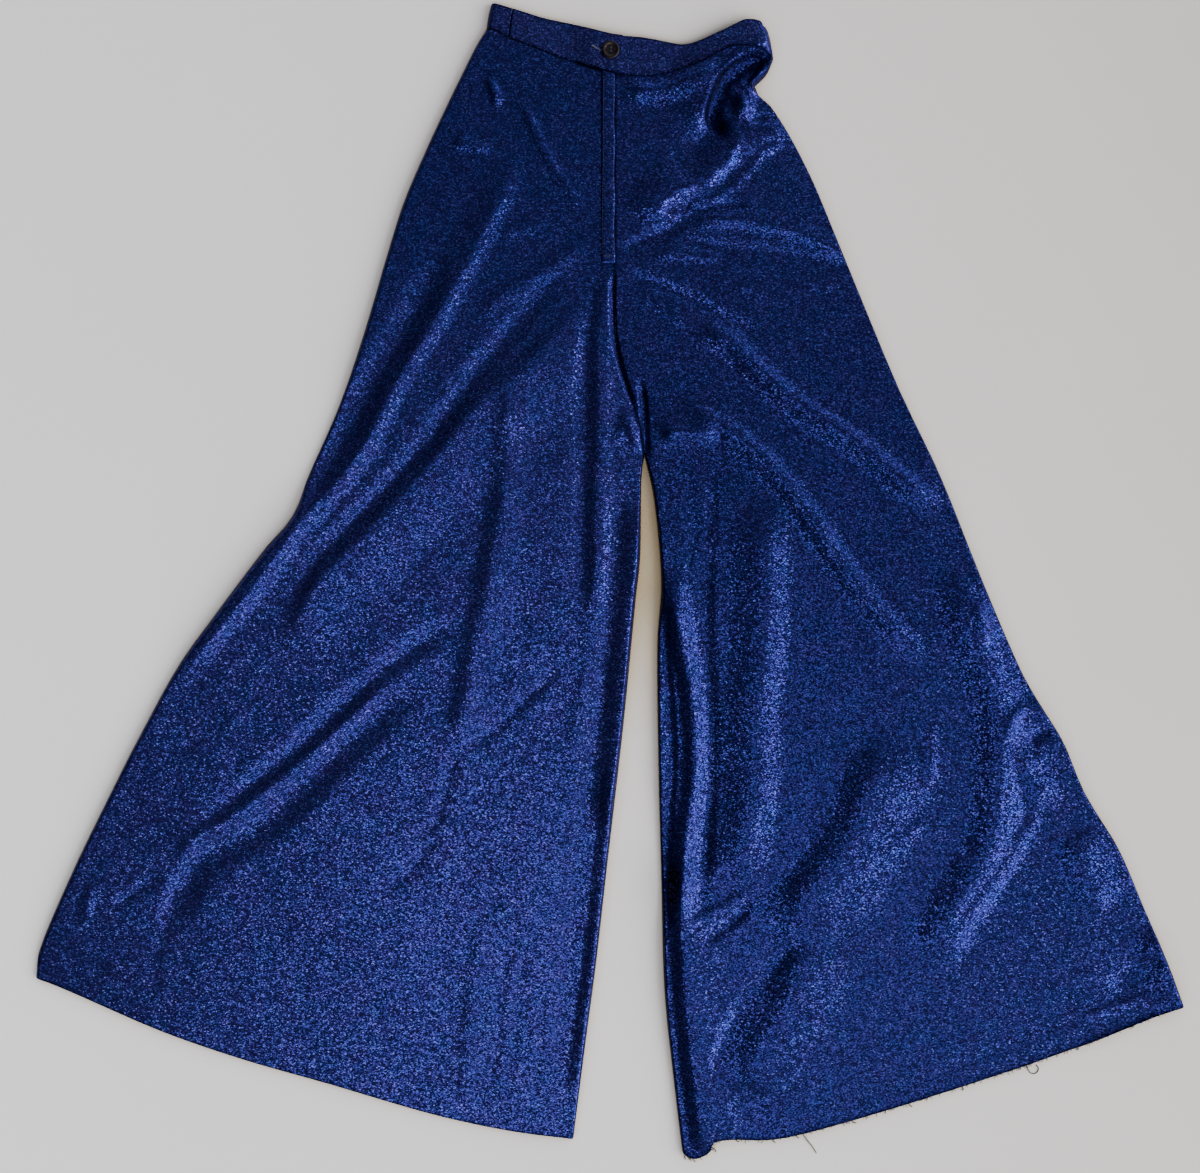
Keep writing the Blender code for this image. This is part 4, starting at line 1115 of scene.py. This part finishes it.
def make_backs(look):
    """Both back panels."""
    right_waist, left_waist = waist_parts()
    make_back("back_right_cloth", "back_right", right_waist, OUTER_RIGHT, INSEAM_RIGHT, HEM_RIGHT,
              -1.0, look)
    make_back("back_left_cloth", "back_left", left_waist, OUTER_LEFT, INSEAM_LEFT, HEM_LEFT, 1.0, look)


def lap_lift(x):
    """How far the buttonhole end of the band rises over the underlap."""
    return LAP_RISE * ramp((x - LAP_RISE_START) / (LAP_RISE_END - LAP_RISE_START))


def level(x):
    """No lift along the band."""
    return np.zeros_like(x)


def band_piece(name, nodes, low_x, high_x, start, end, columns, lift, look):
    """A stretch of the front waistband, rounded along its two long edges."""
    top = part_of_line(smooth_line(BAND_TOP), low_x[0], high_x[0])
    foot = moved(part_of_line(smooth_line(WAIST_SEAM), low_x[1], high_x[1]), y=GAP / 2.0)
    rows = rim_shares(BAND_ROWS)
    shares = np.linspace(0.0, 1.0, columns)
    start = spread(np.vstack([top[0], start, foot[0]]), rows)
    end = spread(np.vstack([top[-1], end, foot[-1]]), rows)
    plan = patch(spread(top, shares), spread(foot, shares), start, end, shares, rows)
    points = plan.reshape(-1, 2)
    puff = np.sin(np.pi * np.clip(rows, 0.0, 1.0)) ** 0.5
    puff = np.repeat(puff[:, None], columns, axis=1).ravel()
    top_z = FRONT_Z + drape(points) + lift(points[:, 0]) + BAND_CLOTH * (BAND_EDGE + BAND_PUFF * puff)
    piece = shell(name, plan, top_z, BAND_SHELL)
    # Painted shade along the band's edges and seams
    shade_edges(piece, (plan[0], plan[-1], plan[:, 0], plan[:, -1]), [EDGE_SHADE_WIDTH] * 4)
    finish_piece(piece, look, nodes)


def make_bands(look):
    """The four pieces of the waistband."""
    half = GAP / 2.0
    none = np.empty((0, 2))
    band_piece("waistband_side_cloth", ["waistband_side"], (BAND_TOP[0][0], WAIST_SEAM[0][0]),
               (SIDE_SEAM_TOP - half, SIDE_SEAM_FOOT - half), smooth_line(BAND_START)[1:-1], none,
               SIDE_COLUMNS, level, look)
    band_piece("waistband_front_right_cloth", ["waistband_front_right"],
               (SIDE_SEAM_TOP + half, SIDE_SEAM_FOOT + half), (LAP_END, LAP_END), none, none,
               BAND_RIGHT_COLUMNS, lap_lift, look)
    band_piece("waistband_front_left_cloth", ["waistband_front_left"], (UNDERLAP_END, UNDERLAP_END),
               (BAND_TOP[-1][0], WAIST_SEAM[-1][0]), none, smooth_line(BAND_END)[1:-1],
               BAND_LEFT_COLUMNS, level, look)
    rows, shares = np.linspace(0.0, 1.0, BAND_BACK_ROWS), np.linspace(0.0, 1.0, BAND_BACK_COLUMNS)
    top = spread(smooth_line(BAND_TOP), shares)
    foot = spread(moved(smooth_line(WAIST_SEAM), y=half), shares)
    start = spread(smooth_line(BAND_START), rows)
    end = spread(smooth_line(BAND_END), rows)
    top[0], top[-1], foot[0], foot[-1] = start[0], end[0], start[-1], end[-1]
    plan = patch(top, foot, start, end, shares, rows)
    piece = shell("waistband_back_cloth", plan, np.full(plan[..., 0].size, CLOTH - BACK_SINK), SHELL)
    finish_piece(piece, look, ["waistband_back"])


def make_fly(look):
    """The topstitched lap of cloth down the centre front."""
    seam = smooth_line(WAIST_SEAM)
    rows, columns = np.linspace(0.0, 1.0, FLY_ROWS), np.linspace(0.0, 1.0, FLY_COLUMNS)
    x = FLY_LEFT + (FLY_RIGHT - FLY_LEFT) * columns[None, :]
    head = np.interp(x, seam[:, 0], seam[:, 1]) - GAP
    x = x + FLY_WAVER * np.sin(rows[:, None] * FLY_WAVES) * (columns[None, :] > 0.5)
    plan = np.stack([x, head + (FLY_FOOT - head) * rows[:, None]], axis=2)
    points = plan.reshape(-1, 2)
    lift = np.repeat((np.sin(np.pi * columns) ** FLY_ROUND)[None, :], len(rows), axis=0).ravel()
    top_z = FRONT_Z + drape(points) + CLOTH + FLY_GAP + LAP_CLOTH * (FLY_EDGE + (1.0 - FLY_EDGE) * lift)
    piece = shell("fly_lap_cloth", plan, top_z, SHELL)
    finish_piece(piece, look, ["fly_lap"])


def lap_top(points):
    """Height of the top of the fly lap."""
    return FRONT_Z + drape(points) + CLOTH + FLY_GAP + LAP_CLOTH


def band_top(points):
    """Height of the top of the lapped half of the waistband."""
    return FRONT_Z + drape(points) + lap_lift(points[:, 0]) + BAND_CLOTH * (BAND_EDGE + BAND_PUFF)


def make_sewing():
    """Topstitching of the fly and its bar, and the buttonhole."""
    courses = []
    for line in FLY_STITCHING:
        courses += stitches(line, STITCH_PITCH, STITCH_SHARE, lap_top, SEWING_RADIUS)
    for step in range(BAR_COURSES):
        bar = moved(FLY_BAR, y=BAR_STEP * step)
        courses += stitches(bar, BAR_PITCH, BAR_SHARE, lap_top, SEWING_RADIUS)
    thread_piece("fly_stitching", courses, SEWING_RADIUS, thread_material("sewing_thread", SEWING_TONE))
    start, end = np.array(BUTTONHOLE)
    along = (end - start) / np.linalg.norm(end - start)
    across = np.array([-along[1], along[0]])
    courses = []
    for side in (-1.0, 1.0):
        for share in np.linspace(0.0, 1.0, BUTTONHOLE_COUNT):
            middle = start + share * (end - start) + side * BUTTONHOLE_REACH * across
            plan = np.stack([middle + reach * across for reach in BUTTONHOLE_MARKS])
            rise = BUTTONHOLE_RADIUS * BUTTONHOLE_RISE
            courses.append(np.column_stack([plan, band_top(plan) + rise]))
    pale = thread_material("buttonhole_thread", BUTTONHOLE_TONE, 0.65)
    thread_piece("buttonhole_stitching", courses, BUTTONHOLE_RADIUS, pale)


def make_button(look):
    """The dished button with four holes, and the thread that holds it."""
    solid_low, solid_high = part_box("button")
    middle = np.array(BUTTON_PLACE)
    foot, head = solid_low[2], solid_high[2]
    profile = np.array(BUTTON_PROFILE)
    radii = np.linspace(0.0, 1.0, BUTTON_RINGS + 1)[1:] ** BUTTON_CROWDING * BUTTON_RADIUS
    angles = np.linspace(0.0, 2.0 * np.pi, BUTTON_SIDES, endpoint=False)
    spots = (-HOLE_SPACING, HOLE_SPACING)
    holes = np.array([(x, y) for x in spots for y in spots])

    def height(plan):
        turned_form = np.interp(np.linalg.norm(plan, axis=1), profile[:, 0], profile[:, 1])
        apart = np.min([np.linalg.norm(plan - hole, axis=1) for hole in holes], axis=0)
        return turned_form - HOLE_DEPTH * ramp((HOLE_RADIUS - apart) / (HOLE_SOFT * HOLE_RADIUS))

    circle = np.stack([np.cos(angles), np.sin(angles)], axis=1)
    plan = np.vstack([[0.0, 0.0], (radii[:, None, None] * circle[None]).reshape(-1, 2)])
    scale = (head - foot) / profile[:, 1].max()
    top = np.column_stack([plan + middle, foot + scale * height(plan)])
    rim = np.column_stack([plan[-BUTTON_SIDES:] * BUTTON_FOOT + middle, np.full(BUTTON_SIDES, foot)])
    points = np.vstack([top, rim])
    faces = [(0, 1 + side, 1 + (side + 1) % BUTTON_SIDES) for side in range(BUTTON_SIDES)]
    for ring in range(BUTTON_RINGS):
        inner, outer = 1 + ring * BUTTON_SIDES, 1 + (ring + 1) * BUTTON_SIDES
        for side in range(BUTTON_SIDES):
            after = (side + 1) % BUTTON_SIDES
            faces.append((inner + side, outer + side, outer + after, inner + after))
    last = 1 + BUTTON_RINGS * BUTTON_SIDES
    faces.append(tuple(range(last, last + BUTTON_SIDES))[::-1])
    piece = add_mesh("button_disc", points, faces)
    finish_piece(piece, look, ["button"])
    courses = []
    for side in spots:
        for shift in (-THREAD_APART, THREAD_APART):
            ends = np.array([(x, side + shift) for x in spots])
            plan = spread(ends, np.linspace(0.0, 1.0, len(THREAD_ARCH)))
            courses.append(np.column_stack([plan + middle, foot + scale * (THREAD_SEAT + THREAD_ARCH)]))
    thread = thread_material("button_thread", BUTTON_THREAD_TONE)
    thread_piece("button_thread", courses, BUTTON_THREAD_RADIUS, thread)


def make_fringe():
    """The frayed fibres and loose threads of the raw hem."""
    draw = np.random.default_rng(FRINGE_SEED)
    hem = smooth_line(HEM_LEFT)
    shares = np.sort(draw.uniform(*FRINGE_SHARES, FRINGE_COUNT))
    starts = spread(hem, shares)
    ahead, behind = [spread(hem, np.clip(shares + step, 0.0, 1.0)) for step in (HEM_STEP, -HEM_STEP)]
    ways = ahead - behind
    ways = ways / np.linalg.norm(ways, axis=1)[:, None]
    outward = np.stack([-ways[:, 1], ways[:, 0]], axis=1)
    shortest, longest = FRINGE_LENGTH
    lengths = shortest + (longest - shortest) * draw.uniform(0.0, 1.0, FRINGE_COUNT) ** FRINGE_SKEW
    slants = draw.normal(0.0, FRINGE_SLANT, FRINGE_COUNT)
    curls = draw.normal(0.0, FRINGE_CURL, FRINGE_COUNT)
    tops = draw.uniform(*FRINGE_TOPS, FRINGE_COUNT)
    drop = np.maximum(0.0, FRINGE_STEPS)
    courses = []
    fibres = zip(starts, outward, ways, lengths, slants, curls, tops)
    for start, out, way, length, slant, curl, top in fibres:
        turn = slant + curl * drop
        reach = (length * FRINGE_STEPS)[:, None]
        plan = start + reach * (np.cos(turn)[:, None] * out + np.sin(turn)[:, None] * way)
        courses.append(np.column_stack([plan, top * (1.0 - drop) + FRINGE_REST * drop + FRINGE_SEAT]))
    thread_piece("hem_fringe", courses, FIBRE_RADIUS, thread_material("fringe_fibre", FIBRE_TONE), 3)
    courses = []
    for course in LOOSE_THREADS:
        course = metres(*course)
        plan = smooth_line(course[:, :2])
        z = np.interp(np.linspace(0.0, 1.0, len(plan)), np.linspace(0.0, 1.0, len(course)), course[:, 2])
        courses.append(np.column_stack([plan, z]))
    thread_piece("loose_threads", courses, THREAD_RADIUS, thread_material("loose_thread", LOOSE_TONE))


def set_camera():
    """A camera straight above the garment, as in the photograph."""
    data = bpy.data.cameras.new("camera")
    data.lens = LENS_MM
    data.sensor_width = SENSOR_MM
    camera = bpy.data.objects.new("camera", data)
    height = VIEW_LEVEL + LENS_MM / SENSOR_MM * VIEW_WIDTH
    camera.location = (*CAMERA_PLACE, height)
    bpy.context.scene.collection.objects.link(camera)
    bpy.context.scene.camera = camera


def add_light(name, place, target, size, power, colour):
    """A soft area light that points from place to target."""
    data = bpy.data.lights.new(name, "AREA")
    data.shape = "RECTANGLE"
    data.size, data.size_y = size
    data.energy = power
    data.color = colour
    light = bpy.data.objects.new(name, data)
    light.location = place
    aim = np.array(target) - np.array(place)
    light.rotation_euler = Vector(aim).to_track_quat("-Z", "Y").to_euler()
    bpy.context.scene.collection.objects.link(light)


def light_scene():
    """Soft light from the right, a weaker high light beyond the hems, and dim air overhead."""
    world = bpy.data.worlds.new("studio")
    bpy.context.scene.world = world
    world.use_nodes = True
    tree = world.node_tree
    background = tree.nodes["Background"]
    way = split(tree, tree.nodes.new("ShaderNodeTexCoord").outputs["Generated"])
    side = math_node(tree, "MULTIPLY_ADD", way["X"], AIR_SIDE, 1.0 - AIR_SIDE)
    tree.links.new(ramp_node(tree, AIR_BY_HEIGHT, way["Z"]), background.inputs["Color"])
    tree.links.new(math_node(tree, "MULTIPLY", side, AIR_STRENGTH), background.inputs["Strength"])
    for light in LIGHTS:
        add_light(*light)


def make_floor():
    """The pale floor that the garment lies on."""
    half = FLOOR_SIZE / 2.0
    corners = [(-half, -half, 0.0), (half, -half, 0.0), (half, half, 0.0), (-half, half, 0.0)]
    floor = add_mesh("floor", corners, [(0, 1, 2, 3)])
    floor.data.materials.append(floor_material())


def main():
    """Makes every piece, the floor, the lights and the camera."""
    set_camera()
    # Each lurex material carries its own painted sheen, so the legs and the band are differently lit
    # copies of one cloth
    cloth = lurex_material("lurex_cloth", LEFT_LEG_PAINTED_SHEEN)
    make_backs(cloth)
    make_fronts(lurex_material("lurex_cloth_right_leg", RIGHT_LEG_PAINTED_SHEEN), cloth)
    make_bands(lurex_material("lurex_cloth_band", BAND_PAINTED_SHEEN))
    make_fly(cloth)
    make_button(button_material())
    make_sewing()
    make_fringe()
    make_floor()
    light_scene()


main()
